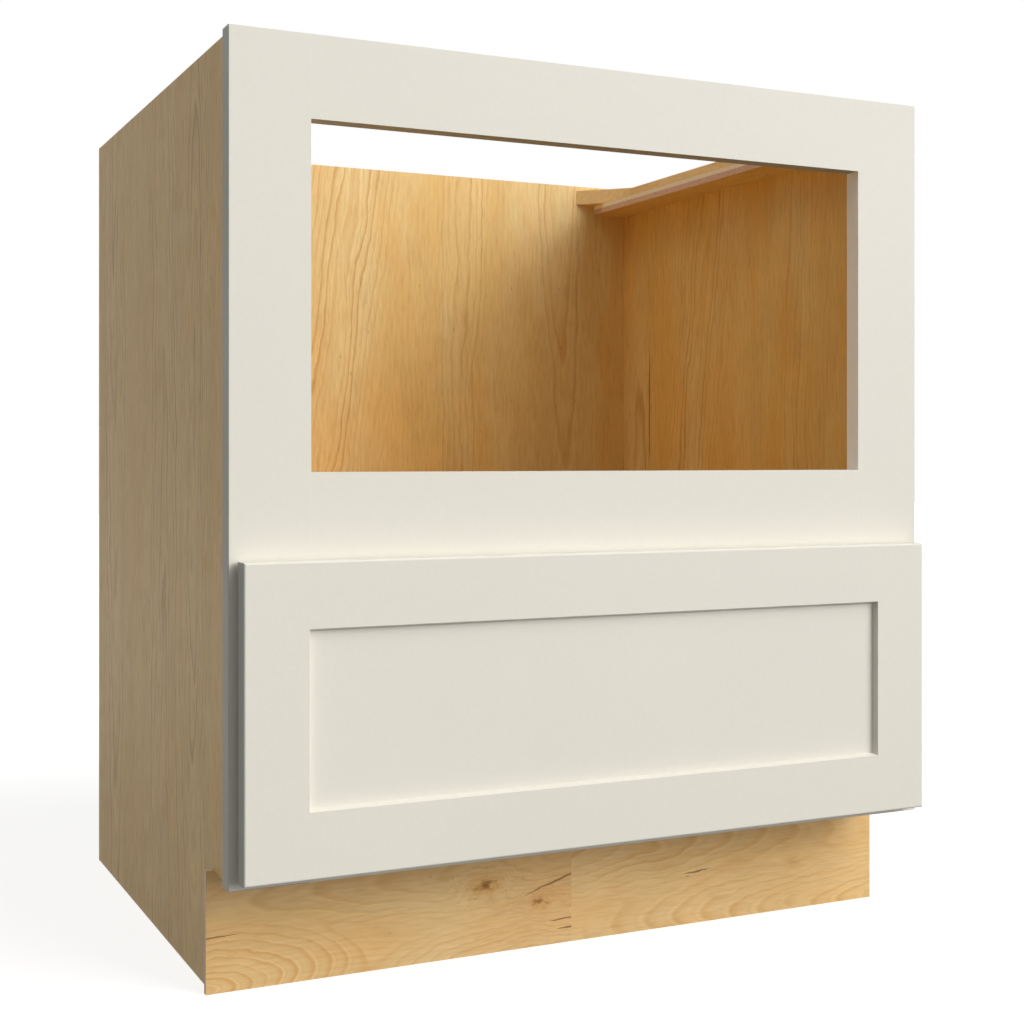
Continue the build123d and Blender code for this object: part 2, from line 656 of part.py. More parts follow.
# Slide brackets: a plate on the back panel with a tongue that plugs into the rail's end
bracket_front_y = back_inner_y - bracket_plate_thickness
for side, sign in SIDES:
    centre_x = sign * slide_centre_x
    with BuildPart() as slide_bracket:
        with BuildSketch(Plane.XZ.offset(-back_inner_y)):
            plate_half = slide_width / 2 + bracket_plate_margin
            plate_top_z = floor_top_z + bracket_plate_height
            rectangle_between(centre_x - plate_half, centre_x + plate_half, floor_top_z, plate_top_z)
        extrude(amount=bracket_plate_thickness)
        with BuildSketch(Plane.XY.offset(rail_base_z)):
            plug_half = slide_width / 2 - steel_thickness - run_gap
            rectangle_between(
                centre_x - plug_half, centre_x + plug_half, slide_end_y - bracket_insert, bracket_front_y
            )
        extrude(amount=bracket_tongue_height)
        for edge in (-1, 1):
            with BuildSketch(Plane.YZ.offset(centre_x + edge * plug_half)):
                tongue_top_z = rail_base_z + bracket_tongue_height
                Polygon(
                    (slide_end_y + run_gap, tongue_top_z),
                    (bracket_front_y, tongue_top_z),
                    (bracket_front_y, plate_top_z),
                    align=None,
                )
            extrude(amount=-edge * bracket_rib_thickness)
        for height in bracket_hole_heights:
            mouth = (centre_x, bracket_front_y, floor_top_z + height)
            with Locations(Plane(mouth, z_dir=(0, -1, 0))):
                Hole(screw_radius + hole_gap, bracket_plate_thickness)
    save(slide_bracket, f"slide_bracket_{side}")

with BuildPart() as bracket_screws:
    for side, sign in SIDES:
        for height in bracket_hole_heights:
            mouth = (sign * slide_centre_x, bracket_front_y, floor_top_z + height)
            with Locations(Plane(mouth, z_dir=(0, -1, 0))):
                add_pan_screw(bracket_screw_length)
save(bracket_screws, "bracket_screws")

# Front clips: a block under the drawer bottom beside each runner, with the lever's pivot pin
for side, sign in SIDES:
    with BuildPart() as front_clip:
        with BuildSketch(Plane.XY.offset(clip_low_z)):
            rectangle_between(sign * clip_inner_x, sign * clip_outer_x, box_front_inner_y, clip_end_y)
        extrude(amount=clip_height)
        fillet(front_clip.edges().filter_by(Axis.Z), radius=clip_edge_radius)
        with Locations((sign * clip_centre_x, lever_pin_y, clip_low_z)):
            Cylinder(lever_pin_radius, clip_low_z - cap_top_z, align=HIGH_END)
        with Locations((sign * clip_centre_x, lever_pin_y, cap_top_z)):
            Cylinder(lever_cap_radius, lever_cap_thickness, align=HIGH_END)
        for screw_x in clip_screw_xs:
            with Locations(Plane((sign * screw_x, clip_screw_y, clip_low_z), z_dir=(0, 0, -1))):
                add_countersunk_hole(clip_height)
    save(front_clip, f"front_clip_{side}")

    with BuildPart() as clip_lever:
        with BuildSketch(Plane.XY.offset(lever_low_z)):
            with Locations((sign * clip_centre_x, lever_pin_y + lever_length / 2)):
                SlotCenterToCenter(lever_length, lever_width, rotation=90)
        extrude(amount=lever_thickness)
        with Locations((sign * clip_centre_x, lever_pin_y, lever_top_z)):
            Hole(lever_pin_radius + pin_gap, lever_thickness)
    save(clip_lever, f"clip_lever_{side}")

with BuildPart() as clip_screws:
    for side, sign in SIDES:
        for screw_x in clip_screw_xs:
            with Locations(Plane((sign * screw_x, clip_screw_y, clip_low_z), z_dir=(0, 0, -1))):
                add_countersunk_screw(clip_screw_length)
save(clip_screws, "clip_screws")
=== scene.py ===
import json
from collections import namedtuple
from itertools import cycle, product
from math import cos, pi, radians, sin

import bmesh
import bpy
import numpy as np
from mathutils import Vector
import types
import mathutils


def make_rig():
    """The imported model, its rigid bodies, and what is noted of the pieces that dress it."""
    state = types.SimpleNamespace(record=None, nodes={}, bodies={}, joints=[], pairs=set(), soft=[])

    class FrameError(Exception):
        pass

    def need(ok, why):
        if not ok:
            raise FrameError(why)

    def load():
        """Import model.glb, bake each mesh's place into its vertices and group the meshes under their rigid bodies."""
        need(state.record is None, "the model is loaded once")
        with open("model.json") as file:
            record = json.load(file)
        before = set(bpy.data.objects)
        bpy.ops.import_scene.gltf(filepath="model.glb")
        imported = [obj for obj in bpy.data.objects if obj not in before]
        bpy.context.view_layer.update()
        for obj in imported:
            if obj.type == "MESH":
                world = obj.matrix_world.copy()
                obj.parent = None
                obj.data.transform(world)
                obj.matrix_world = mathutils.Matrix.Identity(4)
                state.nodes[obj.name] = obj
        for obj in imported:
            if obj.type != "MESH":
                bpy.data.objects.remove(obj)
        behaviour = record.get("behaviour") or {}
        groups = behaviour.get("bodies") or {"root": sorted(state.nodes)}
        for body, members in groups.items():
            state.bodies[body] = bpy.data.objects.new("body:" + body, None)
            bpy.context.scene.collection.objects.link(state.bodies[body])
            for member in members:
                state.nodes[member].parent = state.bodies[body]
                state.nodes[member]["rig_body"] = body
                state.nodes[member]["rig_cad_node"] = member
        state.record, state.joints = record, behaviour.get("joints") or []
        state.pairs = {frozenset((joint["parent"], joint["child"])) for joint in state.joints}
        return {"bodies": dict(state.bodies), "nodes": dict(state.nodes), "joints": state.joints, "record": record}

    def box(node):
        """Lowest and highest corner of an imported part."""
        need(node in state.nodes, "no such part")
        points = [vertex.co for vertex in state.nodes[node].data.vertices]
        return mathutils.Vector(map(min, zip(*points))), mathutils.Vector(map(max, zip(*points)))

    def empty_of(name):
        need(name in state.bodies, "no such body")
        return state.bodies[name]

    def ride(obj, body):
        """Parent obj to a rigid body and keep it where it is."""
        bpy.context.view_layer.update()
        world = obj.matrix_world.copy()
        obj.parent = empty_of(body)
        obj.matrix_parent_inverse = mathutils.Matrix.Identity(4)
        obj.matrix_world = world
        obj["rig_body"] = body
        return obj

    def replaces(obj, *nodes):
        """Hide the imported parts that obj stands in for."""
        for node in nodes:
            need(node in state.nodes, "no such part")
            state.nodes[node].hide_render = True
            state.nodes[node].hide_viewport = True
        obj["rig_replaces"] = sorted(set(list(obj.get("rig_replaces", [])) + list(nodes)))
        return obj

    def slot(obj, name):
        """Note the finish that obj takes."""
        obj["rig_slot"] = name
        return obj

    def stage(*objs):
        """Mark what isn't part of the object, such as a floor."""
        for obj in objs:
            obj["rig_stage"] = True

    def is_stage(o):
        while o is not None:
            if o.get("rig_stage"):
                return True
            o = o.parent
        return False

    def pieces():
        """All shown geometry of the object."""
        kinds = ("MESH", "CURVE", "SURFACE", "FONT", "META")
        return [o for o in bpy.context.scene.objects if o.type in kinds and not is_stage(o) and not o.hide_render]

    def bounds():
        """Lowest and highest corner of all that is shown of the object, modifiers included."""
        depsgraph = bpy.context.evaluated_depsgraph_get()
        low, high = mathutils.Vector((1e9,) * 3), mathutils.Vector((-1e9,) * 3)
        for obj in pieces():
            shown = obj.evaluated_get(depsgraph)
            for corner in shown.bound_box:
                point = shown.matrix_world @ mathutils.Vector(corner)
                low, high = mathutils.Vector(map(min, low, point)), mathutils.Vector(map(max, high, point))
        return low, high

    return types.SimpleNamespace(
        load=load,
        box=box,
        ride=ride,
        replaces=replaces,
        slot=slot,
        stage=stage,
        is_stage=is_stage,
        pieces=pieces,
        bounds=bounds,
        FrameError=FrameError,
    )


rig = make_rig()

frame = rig.load()
CAD_BOX = [list(corner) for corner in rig.bounds()]

bl_info = {
    "name": "Microwave base cabinet",
    "version": (1, 0, 0),
    "blender": (4, 5, 0),
    "location": "3D View > Sidebar > Cabinet",
    "description": "Finishes and fittings for a face-frame kitchen base cabinet, and its studio",
    "category": "Object",
}

MM = 0.001
X, Y, Z = range(3)
SIDES = ("left", "right")
ENDS = ("back", "front")
WHITE = (1.0, 1.0, 1.0)


def srgb(red, green, blue):
    """A colour given as sRGB values from 0 to 255, as the linear values that shaders take."""
    values = np.array((red, green, blue)) / 255
    linear = np.where(values <= 0.04045, values / 12.92, ((values + 0.055) / 1.055) ** 2.4)
    return tuple(float(value) for value in linear)


# Kinds of property

def colour(name, description, red, green, blue):
    """A colour property with an sRGB default."""
    return bpy.props.FloatVectorProperty(
        name=name, description=description, subtype="COLOR", size=3, min=0, max=1,
        default=srgb(red, green, blue)
    )


def number(name, description, default, **kind):
    """A number property, with its limits, subtype and unit where it has them."""
    return bpy.props.FloatProperty(name=name, description=description, default=default, **kind)


def length(name, description, metres):
    """A length property."""
    return number(name, description, metres, subtype="DISTANCE", unit="LENGTH", precision=5)


def angle(name, description, degrees):
    """An angle property with its default in degrees."""
    return number(name, description, radians(degrees), subtype="ANGLE", unit="ROTATION")


def share(name, description, default):
    """A property from 0 to 1."""
    return number(name, description, default, subtype="FACTOR", min=0, max=1)


# Settings

def settings_group(class_name, description, **fields):
    """Make a property group from its fields."""
    parts = {"__doc__": description, "__annotations__": fields}
    return type(class_name, (bpy.types.PropertyGroup,), parts)


class StageSettings(bpy.types.PropertyGroup):
    """Camera, surroundings and floor."""

    camera_x: length("Camera across", "Camera's place along the cabinet's width", -0.7530)
    camera_y: length("Camera back", "Camera's place along the cabinet's depth", -1.6310)
    camera_z: length("Camera height", "Camera's height above the floor", 0.4959)
    camera_turn: angle("Camera turn", "How far the level camera turns to the right", 25.084)
    lens: number("Lens", "Focal length for a sensor 36 mm wide", 54.85, unit="CAMERA")
    shift_right: number("Shift right", "Lens shift that frames the cabinet", 0.02104)
    shift_up: number("Shift up", "Lens shift that frames the cabinet", -0.05339)
    ambient: share("Ambient", "Even light from all round", 0.19)
    floor_colour: colour("Floor", "Colour of the floor where it is seen", 170, 169, 167)
    floor_bounce: colour("Floor bounce", "Colour of the light that the floor sends back", 108, 107, 105)
    floor_glow: share("Floor whiteness", "How much of its white the floor shows without the lamps", 0.8)


def lamp_settings(class_name, lamp, where, strength, turn, rise, spread):
    """Make the property group of one lamp."""
    return settings_group(
        class_name, f"The lamp {where}.",
        strength=number("Strength", f"Watts on each square metre from the {lamp} lamp", strength, min=0),
        turn=angle("Turn", f"How far to the right of the front the {lamp} lamp stands", turn),
        rise=angle("Rise", f"How high the {lamp} lamp stands", rise),
        spread=angle("Spread", f"How wide the {lamp} lamp looks from the cabinet", spread),
    )


KeySettings = lamp_settings("KeySettings", "key", "high at the front right", 1.67, 40.0, 40.0, 45.0)
FillSettings = lamp_settings("FillSettings", "fill", "low at the front right", 2.17, 42.0, 12.0, 42.0)
TopSettings = lamp_settings("TopSettings", "top", "high at the left", 0.5, -75.0, 55.0, 40.0)


class PaintSettings(bpy.types.PropertyGroup):
    """Sprayed paint on the face frame and the drawer front, with painted shade on its outer and downward edges and
    painted light on the jambs.
    """

    colour: colour("Paint", "Colour of the paint", 227, 223, 211)
    # Painted shade: the frame's and drawer front's outer side faces and all downward faces take darker copies of the
    # paint colour.
    frame_edge: colour("Frame edges", "Thinner paint on the face frame's outer edges", 173, 170, 157)
    drawer_edge: colour("Drawer edges", "Thinner paint on the drawer front's outer edges", 187, 185, 175)
    under: colour("Undersides", "Thinner paint on the edges that face down", 164, 161, 152)
    # Painted light: the upright faces of the opening take a lighter copy of the paint colour.
    jamb: colour("Jambs", "Thicker paint on the upright edges of the opening", 253, 252, 250)
    cloud: share("Unevenness", "How much the paint's tone drifts", 0.02)
    peel: length("Peel", "Depth of the sprayed paint's fine ripple", 0.05 * MM)


def wood_colours(what, pale, gold, ring):
    """The colour fields of one wood."""
    return {
        "pale": colour("Pale wood", f"Palest wood of the {what}", *pale),
        "gold": colour("Golden wood", f"Warmer patches of the {what}", *gold),
        "ring": colour("Rings", f"Ring lines of the {what}", *ring),
    }


def wood_settings(class_name, what, pale, gold, ring, ring_gap, ring_strength, gloss):
    """Make the property group of one wood finish."""
    return settings_group(
        class_name, f"Finish of the {what}.", **wood_colours(what, pale, gold, ring),
        ring_gap=length("Ring gap", f"Distance between the rings of the {what}", ring_gap),
        ring_strength=share("Ring strength", f"How clearly the rings of the {what} show", ring_strength),
        gloss=share("Gloss", f"Strength of reflections on the {what}", gloss),
    )


VeneerSettings = settings_group(
    "VeneerSettings", "Colours of the outer side veneer.",
    **wood_colours("outer side veneer", (230, 195, 127), (222, 182, 109), (182, 142, 78)),
)
InteriorSettings = wood_settings(
    "InteriorSettings", "interior plywood",
    (233, 209, 151), (229, 193, 120), (204, 148, 80), 8.5 * MM, 0.65, 0.2
)
WallSettings = wood_settings(
    "WallSettings", "side panels",
    (227, 196, 132), (221, 178, 99), (188, 132, 66), 8.5 * MM, 0.7, 0.2
)
ToeSettings = wood_settings(
    "ToeSettings", "toe boards",
    (242, 210, 154), (234, 194, 130), (219, 160, 88), 5.4 * MM, 0.42, 0.15
)
SolidSettings = wood_settings(
    "SolidSettings", "solid maple",
    (253, 225, 168), (247, 210, 143), (218, 168, 102), 8.0 * MM, 0.5, 0.2
)


class FittingSettings(bpy.types.PropertyGroup):
    """Metal, plastic and rubber of the fittings."""

    zinc: colour("Zinc", "Zinc plating on the slides", 178, 181, 184)
    screw: colour("Screws", "Yellow plating on the screws", 206, 192, 150)
    housing: colour("Housing plastic", "Moulded plastic of the brackets and clips", 98, 100, 103)
    lever: colour("Lever plastic", "Moulded plastic of the release levers", 214, 112, 42)
    nylon: colour("Nylon", "Glide pads of the slides", 228, 227, 220)
    rubber: colour("Rubber", "Bumpers behind the drawer front", 222, 224, 220)
    thread_pitch: length("Thread pitch", "Rise of the screws' thread in one turn", 1.8 * MM)
    bend_radius: length("Bend radius", "Middle radius of the slides' rolled bends", 1.7 * MM)


LAMPS = {"key": KeySettings, "fill": FillSettings, "top": TopSettings}
GROUPS = {
    "stage": StageSettings, **LAMPS, "paint": PaintSettings, "veneer": VeneerSettings,
    "interior": InteriorSettings, "wall": WallSettings, "toe": ToeSettings, "solid": SolidSettings,
    "fitting": FittingSettings,
}
CabinetSettings = settings_group("CabinetSettings", "All settings of the cabinet.", **{
    name: bpy.props.PointerProperty(name=name.capitalize(), description=group.__doc__, type=group)
    for name, group in GROUPS.items()
})


# Materials

class Nodes:
    """A node tree being made, with short calls for the nodes that it takes."""

    mix_colours, mix_result = slice(6, 8), 2

    def __init__(self, tree):
        self.tree = tree

    def put(self, value, socket):
        """Link a node's output to a socket, or set the socket to a value."""
        if isinstance(value, bpy.types.NodeSocket):
            self.tree.links.new(value, socket)
        else:
            socket.default_value = value

    def node(self, kind, *inputs, **settings):
        """Add a node with these settings, and with these values on its first sockets."""
        node = self.tree.nodes.new(kind)
        for setting, value in settings.items():
            setattr(node, setting, value)
        for socket, value in zip(node.inputs, inputs):
            self.put(value, socket)
        return node

    def math(self, operation, *values):
        """One step of arithmetic."""
        return self.node("ShaderNodeMath", *values, operation=operation).outputs[0]

    def times(self, first, *factors):
        """The product of numbers."""
        for factor in factors:
            first = self.math("MULTIPLY", first, factor)
        return first

    def plus(self, value, amount, factor):
        """A value plus an amount times a factor."""
        return self.math("MULTIPLY_ADD", amount, factor, value)

    def vector(self, operation, *values):
        """One step of vector arithmetic."""
        return self.node("ShaderNodeVectorMath", *values, operation=operation).outputs[0]

    def measure(self, operation, *values):
        """A number taken from vectors, such as a length or a dot product."""
        return self.node("ShaderNodeVectorMath", *values, operation=operation).outputs["Value"]

    def join(self, x, y, z=0.0):
        """A vector from three numbers."""
        return self.node("ShaderNodeCombineXYZ", x, y, z).outputs[0]

    def scale(self, vector, factor):
        """A vector or colour times a number."""
        node = self.node("ShaderNodeVectorMath", vector, operation="SCALE")
        self.put(factor, node.inputs["Scale"])
        return node.outputs[0]

    def texture(self, kind, place, rates):
        """A texture that changes as often in a metre as its rate says, or its rates for the three axes."""
        rates = rates if isinstance(rates, tuple) else (rates,) * 3
        node = self.node(kind, self.vector("MULTIPLY", place, rates))
        node.inputs["Scale"].default_value = 1.0
        return node

    def noise(self, place, rates, detail=2.0):
        """Soft noise from 0 to 1."""
        node = self.texture("ShaderNodeTexNoise", place, rates)
        node.inputs["Detail"].default_value = detail
        return node.outputs[0]

    def sway(self, noise):
        """Noise moved to run from -0.5 to 0.5."""
        return self.math("SUBTRACT", noise, 0.5)

    def cells(self, place, rates):
        """Distance to the nearest of many scattered points, and a random number for that point."""
        node = self.texture("ShaderNodeTexVoronoi", place, rates)
        chance = self.node("ShaderNodeSeparateColor", node.outputs["Color"]).outputs[0]
        return node.outputs["Distance"], chance

    def span(self, value, low, high, start=0.0, end=1.0):
        """Pass smoothly from start to end as the value goes from low to high."""
        node = self.node("ShaderNodeMapRange", value, low, high, start, end, interpolation_type="SMOOTHSTEP")
        return node.outputs[0]

    def hump(self, value, start, full, fall, end):
        """Rise smoothly from 0 at the start to 1 where it is full, and fall back to 0 at the end."""
        return self.times(self.span(value, start, full), self.span(value, fall, end, 1.0, 0.0))

    def mix(self, factor, first, second):
        """Blend two colours."""
        node = self.node("ShaderNodeMix", factor, data_type="RGBA")
        for socket, value in zip(node.inputs[self.mix_colours], (first, second)):
            self.put((*value, 1.0) if isinstance(value, tuple) else value, socket)
        return node.outputs[self.mix_result]

    def layers(self, value, stops):
        """Bands of colour: each stop is where its band starts, from 0 to 1, and its colour."""
        node = self.node("ShaderNodeValToRGB", value)
        node.color_ramp.interpolation = "CONSTANT"
        elements = node.color_ramp.elements
        while len(elements) < len(stops):
            elements.new(1.0)
        for element, (start, band) in zip(elements, stops):
            element.position = start
            element.color = (*band, 1.0)
        return node.outputs[0]

    def seen_rays(self):
        """1 for rays that show a thing directly, in gloss or through glass, and 0 for rays that light one."""
        path = self.node("ShaderNodeLightPath").outputs
        indirect = self.math("MAXIMUM", path["Is Glossy Ray"], path["Is Transmission Ray"])
        return self.math("MAXIMUM", path["Is Camera Ray"], indirect)


class Finish(Nodes):
    """A material being made: its Principled shader, and the place on the object that drives its patterns."""

    def __init__(self, name, **sockets):
        self.material = bpy.data.materials.new(name)
        self.material.use_nodes = True
        super().__init__(self.material.node_tree)
        self.shader = self.tree.nodes["Principled BSDF"]
        for socket, value in sockets.items():
            self.shader.inputs[socket.replace("_", " ").title().replace("Ior", "IOR")].default_value = value
        self.place = self.node("ShaderNodeTexCoord").outputs["Object"]

    def bump(self, height, depth):
        """Give the shader's surface this relief, in metres."""
        node = self.node("ShaderNodeBump")
        node.inputs["Distance"].default_value = depth
        self.put(height, node.inputs["Height"])
        self.put(node.outputs[0], self.shader.inputs["Normal"])

    def finish(self, tint, roughness):
        """Connect the last colour and roughness, and return the material."""
        self.put(tint, self.shader.inputs["Base Color"])
        self.put(roughness, self.shader.inputs["Roughness"])
        return self.material


def grain_rates(across, along, axis):
    """A rate along one axis and another rate across it."""
    rates = [across] * 3
    rates[axis] = along
    return tuple(rates)


def dress(material, *nodes):
    """Give CAD nodes a material in place of their own."""
    for node in nodes:
        mesh = frame["nodes"][node].data
        mesh.materials.clear()
        mesh.materials.append(material)


PAINT_DRIFT_RATE = 5.0
SPRAY_RATE = 240.0
EDGE_FULL_SHARE = 0.1


def sprayed_paint(name, settings, edges):
    """Cream paint whose tone drifts a little, with the fine ripple of a spray gun.

    An edge is an axis, a place on that axis, how far the edge rounds off and the tint painted there, which is painted
    shade or painted light.
    """
    finish = Finish(name, specular_ior_level=0.25)
    drift = finish.noise(finish.place, PAINT_DRIFT_RATE)
    grain = finish.noise(finish.place, SPRAY_RATE, 1.0)
    places = finish.node("ShaderNodeSeparateXYZ", finish.place).outputs
    tint = tuple(settings.colour)
    # Each edge's tint, painted shade or painted light, replaces the paint colour near that edge.
    for axis, place, reach, painted_shading_tint in edges:
        off = finish.math("ABSOLUTE", finish.math("SUBTRACT", places[axis], place))
        tint = finish.mix(finish.span(off, EDGE_FULL_SHARE * reach, reach, 1.0, 0.0), tint, tuple(painted_shading_tint))
    tone = finish.span(drift, 0.2, 0.8, 1.0 - settings.cloud, 1.0)
    tone = finish.times(tone, finish.span(grain, 0.2, 0.8, 0.985, 1.0))
    finish.bump(grain, settings.peel)
    return finish.finish(finish.scale(tint, tone), finish.span(drift, 0.3, 0.7, 0.42, 0.5))


# A heart is the middle of a log as it shows in a board: where it comes nearest, how fast it leaves the
# surface along the grain, how far it leans and how far its rings reach. Hearts, knots and cracks are placed
# from the board's middle. A figure also says how quickly the rings waver along the grain, how much the
# dashes and flecks show, and how clearly the rings stand out.
Heart = namedtuple("Heart", "across along slope lean reach")
Knot = namedtuple("Knot", "across along width core", defaults=(1.0,))
Crack = namedtuple("Crack", "start end width")
Figure = namedtuple(
    "Figure", "hearts knots cracks wave dashes flecks contrast", defaults=((), (), 1.0, 0.1, 0.3, 1.0)
)

# A pattern of the wood: how often it changes in a metre across the grain and along it, its detail, and the
# values between which it comes to show.
Pattern = namedtuple("Pattern", "across along detail start full")
TONE = Pattern(11.0, 2.5, 3.0, 0.35, 0.65)
BLUSH = Pattern(18.0, 8.0, 2.0, 0.42, 0.66)
FIBRES = Pattern(320.0, 34.0, 3.0, 0.42, 0.75)
FLECKS = Pattern(420.0, 75.0, 1.0, 0.55, 0.78)
CLOUDS = Pattern(28.0, 9.0, 3.0, 0.4, 0.7)
STREAKS = Pattern(90.0, 5.0, 2.0, 0.45, 0.75)
DASHES = Pattern(200.0, 42.0, 1.0, 0.58, 0.74)
RING_BREAKS = Pattern(14.0, 2.5, 2.0, 0.32, 0.68)
SEED_STEPS = (1.0, 1.7, 2.3)
SPECK_RATES = (80.0, 24.0)
SPECK_CORE, SPECK_EDGE = 0.02, 0.085
SPECK_DARKNESS = 0.5
SPECK_CHANCE = 0.66
CRACK_DARKNESS = 0.85
SAW_RATE = 650.0
PITH_RATE = 160.0
FIBRE_WEIGHT, CLOUD_WEIGHT, STREAK_WEIGHT, STAIN_WEIGHT = 0.14, 0.16, 0.05, 0.6
LEAST_WARMTH, RING_WARMTH = 0.4, -0.4
BLUSH_TINT = (1.035, 0.99, 0.95)
DEEP_BROWN = srgb(138, 84, 34)
WOOD_RELIEF = 0.1 * MM
LINE_RELIEF, SAWN_RELIEF = -0.12, 1.5

# The rings sway by noise of these rates across and along the grain, as far as the last number. The shares
# of a heart's reach say where its rings start to fade and where they have gone.
RING_SWAYS = ((5.0, 1.5, 0.06), (22.0, 8.0, 0.026), (90.0, 45.0, 0.0040), (420.0, 130.0, 0.0012))
RING_FADE, RING_END = 0.6, 1.15
FAR_CLEARNESS, FAINTEST_RING, FAINTEST_BREAK = 0.25, 0.35, 0.45
HEART_RADIUS = 4.0 * MM
HEART_BLEND = 20.0 * MM
UNEVEN_RATE = 34.0
UNEVENNESS = 1.6

# Where in one ring, from 0 to 1, its dark line starts, is full, falls and ends, and where the pale wood
# ends. The fine threads have the same four places in their own shorter turn.
DARK_LINE = (0.5, 0.85, 0.87, 1.0)
PALE_END = 0.3
PALE_LIFT = 0.05
THREAD_LINE = (0.2, 0.7, 0.7, 1.0)
THREADS_IN_RING = 3.0
THREAD_STRENGTH = 0.24

# Reaches of a knot are in widths of the knot.
KNOT_RAGS = (190.0, 120.0, 4.0)
KNOT_RAGGEDNESS = 2.2
KNOT_LENGTH = 1.8
KNOT_RINGS = 3.0
KNOT_RING_REACH, KNOT_STAIN_REACH, KNOT_CORE_REACH = 3.4, 2.4, 0.9
LEAST_STAIN = 0.4
CRACK_WANDER = (110.0, 80.0)
CRACK_SWAY = 3.0 * MM
CRACK_TIP = 0.2

VENEER_SKIN = 0.4 * MM
PALE_PLY = srgb(254, 238, 208)
DARK_PLY = srgb(200, 152, 108)
RED_PLY = srgb(230, 188, 166)
PINK_PLY = srgb(248, 224, 200)
PLYWOOD = tuple(zip((0.0, 0.06, 0.24, 0.42, 0.58, 0.76, 0.94), cycle((PALE_PLY, DARK_PLY))))
LEDGER_PLIES = ((0.0, RED_PLY), (0.55, PALE_PLY))
SKIN_PLIES = ((0.0, PINK_PLY), (0.8, DARK_PLY))


